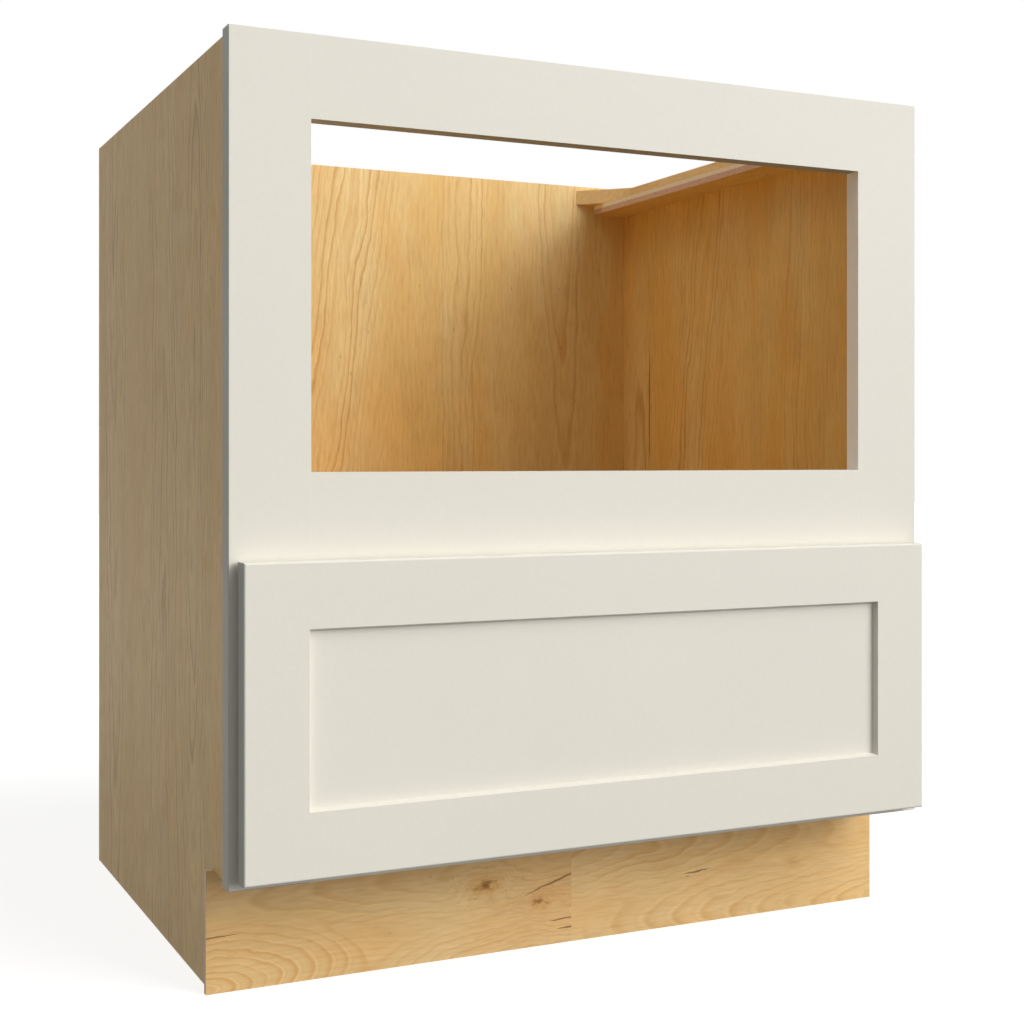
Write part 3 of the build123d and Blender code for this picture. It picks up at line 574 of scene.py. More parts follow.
class Maple(Finish):
    """Maple for one board, with calls for its rings, knots, cracks and cut edges."""

    def __init__(self, node, wood, grain, face, seed):
        super().__init__(f"{node}_maple", specular_ior_level=wood.gloss)
        low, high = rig.box(node)
        self.half = (high - low) / 2
        self.grain, self.face, self.seed = grain, face, seed
        self.centred = self.vector("SUBTRACT", self.place, tuple((low + high) / 2))
        self.loose = self.vector("ADD", self.centred, tuple(seed * step for step in SEED_STEPS))
        places = self.node("ShaderNodeSeparateXYZ", self.centred).outputs
        self.along, self.through = places[grain], places[face]
        self.across = places[X + Y + Z - grain - face]

    def grained(self, across_rate, along_rate, detail=2.0):
        """Noise from 0 to 1 that changes at one rate across the grain and at another along it."""
        return self.noise(self.loose, grain_rates(across_rate, along_rate, self.grain), detail)

    def shown(self, pattern, least=0.0):
        """How much a pattern shows, from the least to 1."""
        noise = self.grained(pattern.across, pattern.along, pattern.detail)
        return self.span(noise, pattern.start, pattern.full, least)

    def shades(self, wood, outside, outside_sign):
        """The pale, golden and ring colours, which change on the skin of an outer face."""
        names = ("pale", "gold", "ring")
        inner = [tuple(getattr(wood, name)) for name in names]
        if not outside:
            return inner
        outward = self.times(self.through, outside_sign)
        skin = self.math("GREATER_THAN", outward, self.half[self.face] - VENEER_SKIN)
        return [self.mix(skin, shade, tuple(getattr(outside, name))) for shade, name in zip(inner, names)]

    def rings(self, figure, gap):
        """How many rings lie between a point and the nearest heart, and how clearly they show there.

        The place is swayed by noise first, so that lines of equal distance make long arches.
        """
        warped = self.across
        for across_rate, along_rate, reach in RING_SWAYS:
            sway = self.sway(self.grained(across_rate, figure.wave * along_rate))
            warped = self.plus(warped, sway, reach)
        distance, clear = None, FAR_CLEARNESS
        for heart in figure.hearts:
            beyond = self.math("SUBTRACT", self.along, heart.along)
            aside = self.plus(self.math("SUBTRACT", warped, heart.across), beyond, -heart.lean)
            field = self.measure("LENGTH", self.join(aside, self.times(beyond, heart.slope), HEART_RADIUS))
            distance = field if distance is None else self.math("SMOOTH_MIN", distance, field, HEART_BLEND)
            near = self.span(field, RING_FADE * heart.reach, RING_END * heart.reach, 1.0, 0.0)
            clear = self.math("MAXIMUM", clear, near)
        uneven = self.sway(self.noise(self.join(distance, self.seed), (UNEVEN_RATE, 1.0, 1.0), 1.0))
        return self.plus(self.math("DIVIDE", distance, gap), uneven, UNEVENNESS), clear

    def knots(self, knots, rings):
        """Lift the ring count to a hill at each knot, so that rings close round it.

        Gives the new count, and the stain round the knots and their dark cores.
        """
        stain, core = 0.0, 0.0
        ragged = self.sway(self.grained(*KNOT_RAGS)) if knots else 0.0
        for knot in knots:
            aside = self.math("DIVIDE", self.math("SUBTRACT", self.across, knot.across), knot.width)
            beyond = self.math("SUBTRACT", self.along, knot.along)
            beyond = self.math("DIVIDE", beyond, KNOT_LENGTH * knot.width)
            off = self.plus(self.measure("LENGTH", self.join(aside, beyond)), ragged, KNOT_RAGGEDNESS)
            hill = self.span(off, 0.0, KNOT_RING_REACH, 1.0, 0.0)
            rings = self.plus(rings, hill, KNOT_RINGS * knot.core)
            depth = LEAST_STAIN + (1 - LEAST_STAIN) * knot.core
            halo = self.span(off, 0.1, KNOT_STAIN_REACH, depth, 0.0)
            stain = self.math("MAXIMUM", stain, halo)
            core = self.math("MAXIMUM", core, self.span(off, 0.0, KNOT_CORE_REACH, knot.core, 0.0))
        return rings, stain, core

    def lines(self, rings, clear):
        """The dark line that ends each ring, with fine threads between, and the pale wood after it."""
        turn = self.math("FRACT", rings)
        thread = self.math("FRACT", self.times(rings, THREADS_IN_RING))
        luck = self.node("ShaderNodeTexWhiteNoise", noise_dimensions="1D")
        self.put(self.math("FLOOR", rings), luck.inputs["W"])
        threads = self.times(self.hump(thread, *THREAD_LINE), THREAD_STRENGTH)
        dark = self.math("MAXIMUM", self.hump(turn, *DARK_LINE), threads)
        chance = self.span(luck.outputs["Value"], 0.0, 1.0, FAINTEST_RING)
        clear = self.times(clear, chance, self.shown(RING_BREAKS, FAINTEST_BREAK))
        return self.times(dark, clear), self.times(self.span(turn, 0.0, PALE_END, 1.0, 0.0), clear)

    def cracks(self, cracks):
        """Thin dark marks, each along a line from its start to its end, that waver and taper off."""
        dark = 0.0
        wander = self.sway(self.grained(*CRACK_WANDER)) if cracks else 0.0
        for crack in cracks:
            run = Vector(crack.end) - Vector(crack.start)
            ahead = run.normalized()
            middle = run.length / 2
            arm = self.vector("SUBTRACT", self.join(self.along, self.across), (*crack.start, 0.0))
            forward = self.measure("DOT_PRODUCT", arm, (*ahead, 0.0))
            aside = self.measure("DOT_PRODUCT", arm, (-ahead.y, ahead.x, 0.0))
            aside = self.math("ABSOLUTE", self.plus(aside, wander, CRACK_SWAY))
            taper = self.hump(forward, 0.0, middle, middle, run.length)
            spread = self.plus(CRACK_TIP * crack.width, taper, (1 - CRACK_TIP) * crack.width)
            off = self.math("DIVIDE", aside, spread)
            mark = self.times(self.span(off, 0.2, 1.0, 1.0, 0.0), self.span(taper, 0.0, 0.4))
            dark = self.math("MAXIMUM", dark, mark)
        return dark

    def cut_edges(self, plies, gold, ring):
        """Colour of a board's cut edges, with plies or end grain, where they are and their rough relief."""
        saw = self.noise(self.centred, SAW_RATE)
        if plies:
            depth = self.math("MULTIPLY_ADD", self.through, 0.5 / self.half[self.face], 0.5)
            band = self.layers(depth, plies)
            pores = self.times(self.span(saw, 0.3, 0.7, 0.8, 0.0), self.measure("DISTANCE", band, WHITE))
            cut = self.scale(band, self.math("SUBTRACT", 1.05, self.times(pores, 0.5)))
            off = self.math("ABSOLUTE", self.through)
            edge = self.math("LESS_THAN", off, self.half[self.face] - VENEER_SKIN)
        else:
            pith = self.noise(self.centred, PITH_RATE, 1.0)
            cut = self.scale(self.mix(pith, gold, ring), self.span(saw, 0.3, 0.7, 0.66, 0.94))
            off = self.math("ABSOLUTE", self.along)
            edge = self.math("GREATER_THAN", off, self.half[self.grain] - VENEER_SKIN)
        return cut, edge, self.times(edge, saw)


def maple_board(wood, seed, node, grain, face, figure, plies=(), outside=None, outside_sign=0):
    """Dress a board in maple with growth rings, fibres, specks, slow changes of tone and its cut edges."""
    board = Maple(node, wood, grain, face, seed)
    pale, gold, ring = board.shades(wood, outside, outside_sign)
    rings, clear = board.rings(figure, wood.ring_gap)
    rings, stain, core = board.knots(figure.knots, rings)
    line, early = board.lines(rings, clear)

    warmth = board.plus(board.shown(TONE, LEAST_WARMTH), clear, RING_WARMTH)
    timber = board.mix(warmth, pale, gold)
    timber = board.vector("MULTIPLY", timber, board.mix(board.shown(BLUSH), WHITE, BLUSH_TINT))
    fibre = board.grained(FIBRES.across, FIBRES.along, FIBRES.detail)
    marks = board.times(line, figure.contrast * wood.ring_strength)
    for mark, weight in (
        (board.span(fibre, FIBRES.start, FIBRES.full), FIBRE_WEIGHT),
        (board.shown(FLECKS), figure.flecks),
        (board.shown(CLOUDS), CLOUD_WEIGHT),
        (board.shown(STREAKS), STREAK_WEIGHT),
        (board.shown(DASHES), figure.dashes),
        (stain, STAIN_WEIGHT),
    ):
        marks = board.plus(marks, mark, weight)
    timber = board.mix(board.math("MINIMUM", marks, 1.0), timber, ring)
    timber = board.scale(timber, board.span(early, 0.0, 1.0, 1.0, 1.0 + PALE_LIFT * figure.contrast))
    timber = board.scale(timber, board.span(fibre, 0.25, 0.75, 1.03, 0.96))

    near, chance = board.cells(board.loose, grain_rates(*SPECK_RATES, grain))
    speck = board.span(near, SPECK_CORE, SPECK_EDGE, SPECK_DARKNESS, 0.0)
    speck = board.times(speck, board.math("GREATER_THAN", chance, SPECK_CHANCE))
    dark = board.times(board.math("MAXIMUM", core, board.cracks(figure.cracks)), CRACK_DARKNESS)
    timber = board.mix(board.math("MAXIMUM", dark, speck), timber, DEEP_BROWN)
    cut, edge, rough = board.cut_edges(plies, gold, ring)
    timber = board.mix(edge, timber, cut)
    board.bump(board.plus(board.plus(fibre, line, LINE_RELIEF), rough, SAWN_RELIEF), WOOD_RELIEF)
    dress(board.finish(timber, board.span(fibre, 0.2, 0.8, 0.4, 0.55)), node)


def maple_boards(wood, first_seed, boards):
    """Dress boards, each with the next seed. A board is what maple_board takes after its seed."""
    for seed, board in enumerate(boards, first_seed):
        maple_board(wood, seed, *board)


ROLLING_RATES = (900.0, 6.0)
ROLLING_DEPTH = 0.03 * MM
CRYSTAL_RATE = 160.0
TARNISH_RATE = 18.0


def plated_steel(name, tint, grain_axis):
    """Plated steel: crystals of slightly different tone, and fine rolling lines along one axis."""
    finish = Finish(name, metallic=1.0)
    rolled = finish.noise(finish.place, grain_rates(*ROLLING_RATES, grain_axis))
    crystal = finish.cells(finish.place, CRYSTAL_RATE)[1]
    tarnish = finish.noise(finish.place, TARNISH_RATE, 3.0)
    tone = finish.times(
        finish.span(rolled, 0.25, 0.75, 0.9, 1.04), finish.span(crystal, 0.0, 1.0, 0.92, 1.05),
        finish.span(tarnish, 0.35, 0.75, 1.0, 0.86),
    )
    finish.bump(rolled, ROLLING_DEPTH)
    return finish.finish(finish.scale(tuple(tint), tone), finish.span(tarnish, 0.3, 0.7, 0.28, 0.46))


FLOW_RATE = 40.0
SPARK_DEPTH = 0.06 * MM
SPARK_ROUGHNESS = 0.12


def moulded_plastic(name, tint, spark_rate, roughness):
    """Moulded plastic with a fine spark-eroded texture and faint flow marks."""
    finish = Finish(name, specular_ior_level=0.4)
    grain = finish.noise(finish.place, spark_rate)
    flow = finish.noise(finish.place, FLOW_RATE, 3.0)
    tone = finish.times(finish.span(grain, 0.3, 0.7, 0.93, 1.04), finish.span(flow, 0.3, 0.7, 0.96, 1.03))
    finish.bump(grain, SPARK_DEPTH)
    rough = finish.span(grain, 0.3, 0.7, roughness, roughness + SPARK_ROUGHNESS)
    return finish.finish(finish.scale(tuple(tint), tone), rough)


BLOOM_RATE = 300.0
BLOOM_DEPTH = 0.04 * MM


def clear_rubber(tint):
    """Soft translucent rubber with a dusty bloom."""
    finish = Finish("clear_rubber", transmission_weight=0.55, ior=1.45, specular_ior_level=0.4)
    bloom = finish.noise(finish.place, BLOOM_RATE, 3.0)
    tone = finish.span(bloom, 0.3, 0.7, 0.92, 1.0)
    finish.bump(bloom, BLOOM_DEPTH)
    return finish.finish(finish.scale(tuple(tint), tone), finish.span(bloom, 0.3, 0.7, 0.25, 0.45))


# Meshes

SHARP_ANGLE = radians(40)


def add_object(name, data):
    """Put data into the scene as an object."""
    added = bpy.data.objects.new(name, data)
    bpy.context.scene.collection.objects.link(added)
    return added


def grid_faces(rows, columns):
    """Quads between rings of points that lie one below the other and run anticlockwise from above."""
    row, column = np.meshgrid(np.arange(rows - 1), np.arange(columns), indexing="ij")
    upper, after = row * columns, (column + 1) % columns
    lower = upper + columns
    corners = (upper + column, lower + column, lower + after, upper + after)
    return np.stack(corners, axis=-1).reshape(-1, 4).tolist()


def turned(rings):
    """Points and faces of a closed round shape made of rings, with a pole in the middle of each end ring."""
    count, columns = rings.shape[:2]
    points = np.concatenate((rings.reshape(-1, 3), rings[[0, -1]].mean(axis=1)))
    around = np.arange(columns)
    after = (around + 1) % columns
    first, last = count * columns, count * columns + 1
    under = (count - 1) * columns
    top = np.stack((np.full(columns, first), around, after), axis=-1).tolist()
    bottom = np.stack((np.full(columns, last), under + after, under + around), axis=-1).tolist()
    return points, grid_faces(count, columns) + top + bottom


def add_piece(name, shapes, material, body, slot, *nodes):
    """Join shapes of points and faces into one piece that rides on a body and stands for CAD nodes."""
    points, faces, start = [], [], 0
    for shape_points, shape_faces in shapes:
        points.append(shape_points)
        faces += [[start + corner for corner in face] for face in shape_faces]
        start += len(shape_points)
    mesh = bpy.data.meshes.new(name)
    mesh.from_pydata(np.concatenate(points).tolist(), [], faces)
    made = bmesh.new()
    made.from_mesh(mesh)
    bmesh.ops.recalc_face_normals(made, faces=made.faces)
    made.to_mesh(mesh)
    made.free()
    mesh.polygons.foreach_set("use_smooth", np.ones(len(mesh.polygons), dtype=bool))
    mesh.set_sharp_from_angle(angle=SHARP_ANGLE)
    mesh.materials.append(material)
    piece = add_object(name, mesh)
    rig.ride(piece, body)
    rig.slot(piece, slot)
    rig.replaces(piece, *nodes)


# The stage

class CABINET_OT_stage(bpy.types.Operator):
    """Set up the camera, the lamps, the white surroundings and the floor."""

    bl_idname = "cabinet.stage"
    bl_label = "Stage"

    sensor_width = 36.0
    lamp_distance = 4.0
    floor_reach = 12.0
    fade_start = 0.8
    fade_end = 2.2

    def execute(self, context):
        scene = context.scene
        scene.view_settings.view_transform = "Standard"
        self.place_camera(scene, scene.cabinet.stage)
        for lamp in LAMPS:
            self.hang_lamp(f"{lamp}_lamp", getattr(scene.cabinet, lamp))
        self.fill_world(scene, scene.cabinet.stage)
        self.lay_floor(scene.cabinet.stage)
        return {"FINISHED"}

    def place_camera(self, scene, settings):
        """Stand the level camera where the cabinet's sides take their seen widths."""
        camera = bpy.data.cameras.new("camera")
        camera.sensor_width = self.sensor_width
        camera.lens = settings.lens
        camera.shift_x = settings.shift_right
        camera.shift_y = settings.shift_up
        scene.camera = add_object("camera", camera)
        scene.camera.location = (settings.camera_x, settings.camera_y, settings.camera_z)
        scene.camera.rotation_euler = (radians(90), 0.0, -settings.camera_turn)

    def hang_lamp(self, name, settings):
        """Hang a soft lamp far off, turned to the right of the front and raised by two angles."""
        light = bpy.data.lights.new(name, "SUN")
        light.energy = settings.strength
        light.angle = settings.spread
        turn, rise = settings.turn, settings.rise
        side = Vector((sin(turn) * cos(rise), -cos(turn) * cos(rise), sin(rise)))
        lamp = add_object(name, light)
        lamp.location = self.lamp_distance * side
        lamp.rotation_euler = (-side).to_track_quat("-Z", "Y").to_euler()

    def fill_world(self, scene, settings):
        """Surround the cabinet with even light that looks white."""
        scene.world = bpy.data.worlds.new("white_surroundings")
        scene.world.use_nodes = True
        nodes = Nodes(scene.world.node_tree)
        background = nodes.tree.nodes["Background"]
        background.inputs["Color"].default_value = (*WHITE, 1.0)
        light = nodes.span(nodes.seen_rays(), 0.0, 1.0, settings.ambient, 1.0)
        nodes.put(light, background.inputs["Strength"])

    def lay_floor(self, settings):
        """Lay a white floor that keeps the cabinet's shadow and fades into the surroundings."""
        mesh = bpy.data.meshes.new("studio_floor")
        reach = self.floor_reach
        corners = [(-reach, -reach, 0), (reach, -reach, 0), (reach, reach, 0), (-reach, reach, 0)]
        mesh.from_pydata(corners, [], [(0, 1, 2, 3)])
        floor = add_object("studio_floor", mesh)
        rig.stage(floor)
        material = bpy.data.materials.new("studio_floor")
        material.use_nodes = True
        mesh.materials.append(material)
        nodes = Nodes(material.node_tree)
        nodes.tree.nodes.remove(nodes.tree.nodes["Principled BSDF"])
        matt, bounce = (
            nodes.node("ShaderNodeBsdfDiffuse", (*tint, 1.0)).outputs[0]
            for tint in (settings.floor_colour, settings.floor_bounce)
        )
        distance = nodes.measure("LENGTH", nodes.node("ShaderNodeTexCoord").outputs["Object"])
        fade = nodes.span(distance, self.fade_start, self.fade_end, settings.floor_glow, 1.0)
        glow = nodes.node("ShaderNodeEmission", (*WHITE, 1.0), fade).outputs[0]
        shown = nodes.node("ShaderNodeAddShader", matt, glow).outputs[0]
        surface = nodes.node("ShaderNodeMixShader", nodes.seen_rays(), bounce, shown).outputs[0]
        nodes.put(surface, nodes.tree.nodes["Material Output"].inputs["Surface"])


# The cabinet

FRONT_PARTS = ("left_stile", "right_stile", "top_rail", "bottom_rail", "panel")


class CABINET_OT_painted_front(bpy.types.Operator):
    """Paint the face frame and the drawer front, with painted shade on their outer side faces and undersides and
    painted light on the jambs.
    """

    bl_idname = "cabinet.painted_front"
    bl_label = "Painted front"

    rounded = 0.7 * MM
    square = 0.1 * MM

    def execute(self, context):
        settings = context.scene.cabinet.paint
        stiles = [f"frame_{side}_stile" for side in SIDES]
        left, right = (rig.box(stile) for stile in stiles)
        edges = self.outer_edges(left[0], right[1], settings.frame_edge, settings.under)
        # Painted light on the upright faces of the opening.
        edges += [(X, jamb, self.square, settings.jamb) for jamb in (left[1].x, right[0].x)]
        dress(sprayed_paint("frame_stile_paint", settings, edges), *stiles)
        rails = [f"frame_{place}_rail" for place in ("top", "middle", "bottom")]
        # Painted shade on the rails' undersides.
        edges = [(Z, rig.box(rail)[0].z, self.square, settings.under) for rail in rails]
        dress(sprayed_paint("frame_rail_paint", settings, edges), *rails)
        parts = [f"drawer_front_{part}" for part in FRONT_PARTS]
        low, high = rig.box(parts[0])[0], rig.box(parts[1])[1]
        edges = self.outer_edges(low, high, settings.drawer_edge, settings.under)
        dress(sprayed_paint("drawer_front_paint", settings, edges), *parts)
        return {"FINISHED"}

    def outer_edges(self, low, high, upright, under):
        """The two upright outer edges and the bottom edge of a framed front, with their painted shade tints."""
        edges = [(X, place, self.rounded, upright) for place in (low.x, high.x)]
        return edges + [(Z, low.z, self.rounded, under)]


class CABINET_OT_side_panels(bpy.types.Operator):
    """Veneer the two side panels: upright maple, golden inside and paler outside, with plies at the edges."""

    bl_idname = "cabinet.side_panels"
    bl_label = "Side panels"

    figures = {
        "left": Figure(
            (
                Heart(-0.06, -0.9, 0.03, 0.02, 0.09), Heart(0.20, 0.9, 0.04, 0.0, 0.08),
                Heart(-0.17, 0.12, 0.09, 0.0, 0.06),
            ),
            wave=1.4, dashes=0.2, flecks=0.2, contrast=1.25,
        ),
        "right": Figure(
            (
                Heart(0.164, -0.3, 0.022, -0.15, 0.07), Heart(-0.135, 0.25, 0.012, 0.0, 0.03),
                Heart(0.24, -0.5, 0.05, 0.0, 0.05),
            ),
            cracks=(Crack((0.020, 0.2120), (0.240, 0.2105), 0.0030),),
            dashes=0.05, flecks=0.15,
        ),
    }

    def execute(self, context):
        wall, veneer = context.scene.cabinet.wall, context.scene.cabinet.veneer
        for side, sign in zip(SIDES, (-1, 1)):
            figure = self.figures[side]
            maple_board(wall, sign, f"{side}_side_panel", Z, X, figure, PLYWOOD, veneer, sign)
        return {"FINISHED"}


class CABINET_OT_interior(bpy.types.Operator):
    """Finish the back, the floor, the shelf, the board behind the toe skins and the ledgers."""

    bl_idname = "cabinet.interior"
    bl_label = "Interior plywood"

    back = Figure(
        (
            Heart(-0.150, -0.30, 0.022, 0.15, 0.065), Heart(0.113, 0.25, 0.012, 0.0, 0.032),
            Heart(0.263, 0.60, 0.06, 0.0, 0.05), Heart(-0.30, 0.90, 0.05, -0.05, 0.08),
        ),
        dashes=0.05, flecks=0.15,
    )
    flat = Figure((
        Heart(-0.15, -0.8, 0.05, 0.0, 0.08), Heart(0.12, 0.5, 0.05, 0.0, 0.06),
        Heart(0.28, -0.6, 0.04, 0.0, 0.06),
    ))
    strip = Figure((Heart(0.06, 0.4, 0.03, 0.0, 0.06),))
    first_seed = 2

    def execute(self, context):
        boards = [("back_panel", Z, Y, self.back, PLYWOOD), ("sub_toe_board", X, Y, self.strip, PLYWOOD)]
        boards += [(node, X, Z, self.flat, PLYWOOD) for node in ("floor_panel", "microwave_shelf")]
        boards += [(f"brace_ledger_{side}", Y, Z, self.strip, LEDGER_PLIES) for side in SIDES]
        maple_boards(context.scene.cabinet.interior, self.first_seed, boards)
        return {"FINISHED"}


class CABINET_OT_toe_skins(bpy.types.Operator):
    """Finish the two toe skins, with the grain lying down, a few knots and dark cracks."""

    bl_idname = "cabinet.toe_skins"
    bl_label = "Toe skins"

    figures = {
        "left": Figure(
            (
                Heart(-0.052, -0.21, 0.34, 0.0, 0.075), Heart(0.06, 0.45, 0.09, 0.06, 0.08),
                Heart(-0.075, 0.16, 0.32, 0.0, 0.07),
            ),
            (Knot(0.0117, 0.0935, 0.0075), Knot(-0.0127, 0.1545, 0.0065), Knot(-0.012, 0.165, 0.028, 0.0)),
            (
                Crack((0.120, -0.0090), (0.245, 0.0284), 0.0018),
                Crack((0.160, -0.0332), (0.205, -0.0317), 0.0012),
                Crack((0.168, -0.0426), (0.210, -0.0410), 0.0015),
                Crack((-0.225, -0.0070), (-0.148, -0.0038), 0.0011),
            ),
            wave=1.6, dashes=0.0, flecks=0.12, contrast=1.4,
        ),
        "right": Figure(
            (Heart(0.03, -0.35, 0.12, 0.0, 0.08), Heart(-0.05, 0.25, 0.15, 0.0, 0.08)),
            (Knot(-0.0075, 0.0855, 0.005, 0.1),),
            (Crack((-0.060, -0.0043), (-0.018, -0.0009), 0.0016),),
            wave=1.6, dashes=0.0, flecks=0.1, contrast=1.15,
        ),
    }
    first_seed = 11

    def execute(self, context):
        boards = [(f"toe_skin_{side}", X, Y, self.figures[side], SKIN_PLIES) for side in SIDES]
        maple_boards(context.scene.cabinet.toe, self.first_seed, boards)
        return {"FINISHED"}


class CABINET_OT_solid_maple(bpy.types.Operator):
    """Finish the braces and the drawer box."""

    bl_idname = "cabinet.solid_maple"
    bl_label = "Braces and drawer box"

    figure = Figure(
        (Heart(0.09, 0.2, 0.02, 0.0, 0.08), Heart(-0.13, -0.5, 0.04, 0.0, 0.06)), dashes=0.05, flecks=0.15
    )
    first_seed = 20

    def execute(self, context):
        boards = [(f"{end}_brace_{side}", Y, Z, self.figure) for end in ENDS for side in SIDES]
        boards += [(f"drawer_box_{side}_side", Y, X, self.figure) for side in SIDES]
        boards += [(f"drawer_box_{end}", X, Y, self.figure) for end in ENDS]
        boards += [("drawer_box_bottom", X, Z, self.figure, PLYWOOD)]
        maple_boards(context.scene.cabinet.solid, self.first_seed, boards)
        return {"FINISHED"}


class CABINET_OT_slides(bpy.types.Operator):
    """Roll the slides' rails and runners from strip with round bends, and finish the rest of the slides."""

    bl_idname = "cabinet.slides"
    bl_label = "Slides, brackets and clips"

    strip_thickness = 1.5 * MM
    mouth_half = 10.0 * MM
    bend_steps = 7

    def execute(self, context):
        settings = context.scene.cabinet.fitting
        zinc = plated_steel("zinc_steel", settings.zinc, Y)
        housing = moulded_plastic("housing_plastic", settings.housing, spark_rate=700.0, roughness=0.45)
        nylon = moulded_plastic("nylon", settings.nylon, spark_rate=300.0, roughness=0.35)
        for side in SIDES:
            for part, body, lips in (("rail", "cabinet", 1), ("runner", "drawer", -1)):
                node = f"slide_{part}_{side}"
                shape = self.channel(node, lips, settings.bend_radius)
                add_piece(f"rolled_{part}_{side}", [shape], zinc, body, "zinc_steel", node)
            dress(zinc, f"slide_middle_{side}")
            dress(nylon, f"slide_glides_{side}")
            dress(housing, f"slide_bracket_{side}", f"front_clip_{side}")
        return {"FINISHED"}

    def channel(self, node, lips, bend):
        """A strip bent round four corners into a channel, with its lips up or down, and carried along Y.

        The strip's middle line goes from one lip along one wall, across the base and back to the other lip.
        Each corner is a quarter circle. The two faces lie half a thickness to each side of that line.
        """
        low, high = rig.box(node)
        middle_x = (low.x + high.x) / 2
        inset = self.strip_thickness / 2
        wall = (high.x - low.x) / 2 - inset
        base, mouth = low.z + inset, high.z - inset
        if lips < 0:
            base, mouth = mouth, base
        corners = np.array((
            (-self.mouth_half, mouth), (-wall, mouth), (-wall, base),
            (wall, base), (wall, mouth), (self.mouth_half, mouth),
        ))
        ways = np.diff(corners, axis=0)
        ways /= np.linalg.norm(ways, axis=1, keepdims=True)
        turn = np.linspace(0, pi / 2, self.bend_steps)[None, :, None]
        into, out, corner = ways[:-1, None], ways[1:, None], corners[1:-1, None]
        arcs = corner + bend * (out - into - out * np.cos(turn) + into * np.sin(turn))
        headings = into * np.cos(turn) + out * np.sin(turn)
        line = np.concatenate((corners[:1], arcs.reshape(-1, 2), corners[-1:]))
        heading = np.concatenate((ways[:1], headings.reshape(-1, 2), ways[-1:]))
        aside = inset * np.stack((-heading[:, 1], heading[:, 0]), axis=-1)
        section = np.concatenate((line + aside, (line - aside)[::-1]))
        count = len(section)
        rings = np.empty((2, count, 3))
        rings[:, :, X] = middle_x + section[:, 0]
        rings[:, :, Z] = section[:, 1]
        rings[:, :, Y] = np.array((low.y, high.y))[:, None]
        half = np.arange(count // 2 - 1)
        cap = np.stack((half, half + 1, count - 2 - half, count - 1 - half), axis=-1)
        faces = grid_faces(2, count) + cap.tolist() + (cap + count).tolist()
        return rings.reshape(-1, 3), faces


class CABINET_OT_levers(bpy.types.Operator):
    """Mould the clips' release levers with rounded edges, a pin hole and a ribbed grip."""

    bl_idname = "cabinet.levers"
    bl_label = "Release levers"

    hole_radius = 2.05 * MM
    edge_radius = 0.8 * MM
    rib_pitch = 3.0 * MM
    rib_depth = 0.7 * MM
    grip_length = 17.0 * MM
    end_steps, side_steps, flat_steps, edge_steps = 25, 40, 60, 5

    def execute(self, context):
        settings = context.scene.cabinet.fitting
        plastic = moulded_plastic("lever_plastic", settings.lever, spark_rate=800.0, roughness=0.4)
        for side in SIDES:
            node = f"clip_lever_{side}"
            add_piece(f"ribbed_lever_{side}", [self.lever(node)], plastic, node, "lever_plastic", node)
        return {"FINISHED"}

    def lever(self, node):
        """A ring of section round the pin: from the hole out over the underside, round the edge and back.

        The outline is two half circles and two straight sides. Every section runs on a line from the pin
        to a point of the outline. On the grip the underside rises and falls as a cosine along Y.
        """
        low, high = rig.box(node)
        radius = (high.x - low.x) / 2
        reach = high.y - low.y - 2 * radius
        turn = np.linspace(0, pi, self.end_steps)
        side = np.linspace(0, reach, self.side_steps)[1:-1]
        far = np.stack((radius * np.cos(turn), reach + radius * np.sin(turn)), axis=-1)
        near = np.stack((-radius * np.cos(turn), -radius * np.sin(turn)), axis=-1)
        left = np.stack((np.full_like(side, -radius), side[::-1]), axis=-1)
        outline = np.concatenate((far, left, near, left[::-1] * (-1, 1)))
        outward = outline / np.linalg.norm(outline, axis=1, keepdims=True)
        hole = self.hole_radius * outward
        rim = outline - self.edge_radius * outward
        steps = np.linspace(0, 1, self.flat_steps)[:, None, None]
        flat = hole + (rim - hole) * steps
        bend = np.linspace(0, pi / 2, self.edge_steps)[1:, None]
        edge = rim + self.edge_radius * np.sin(bend)[:, :, None] * outward
        lift = self.edge_radius * (1 - np.cos(bend)) * np.ones(len(outline))
        grip_start = reach + radius - self.grip_length
        wave = 0.5 - 0.5 * np.cos(2 * pi * (flat[:, :, 1] - grip_start) / self.rib_pitch)
        ribs = self.rib_depth * wave * (flat[:, :, 1] > grip_start)
        thickness = high.z - low.z
        plan = np.concatenate((flat, edge, edge[::-1], flat[::-1]))
        level = np.concatenate((ribs, lift, thickness - lift[::-1], np.full(flat.shape[:2], thickness)))
        rings = np.concatenate((plan, level[:, :, None]), axis=-1)
        rings = np.concatenate((rings, rings[:1]))
        rings += ((low.x + high.x) / 2, low.y + radius, low.z)
        count, columns = rings.shape[:2]
        faces = np.array(grid_faces(count, columns)) % ((count - 1) * columns)
        return rings[:-1].reshape(-1, 3), faces.tolist()


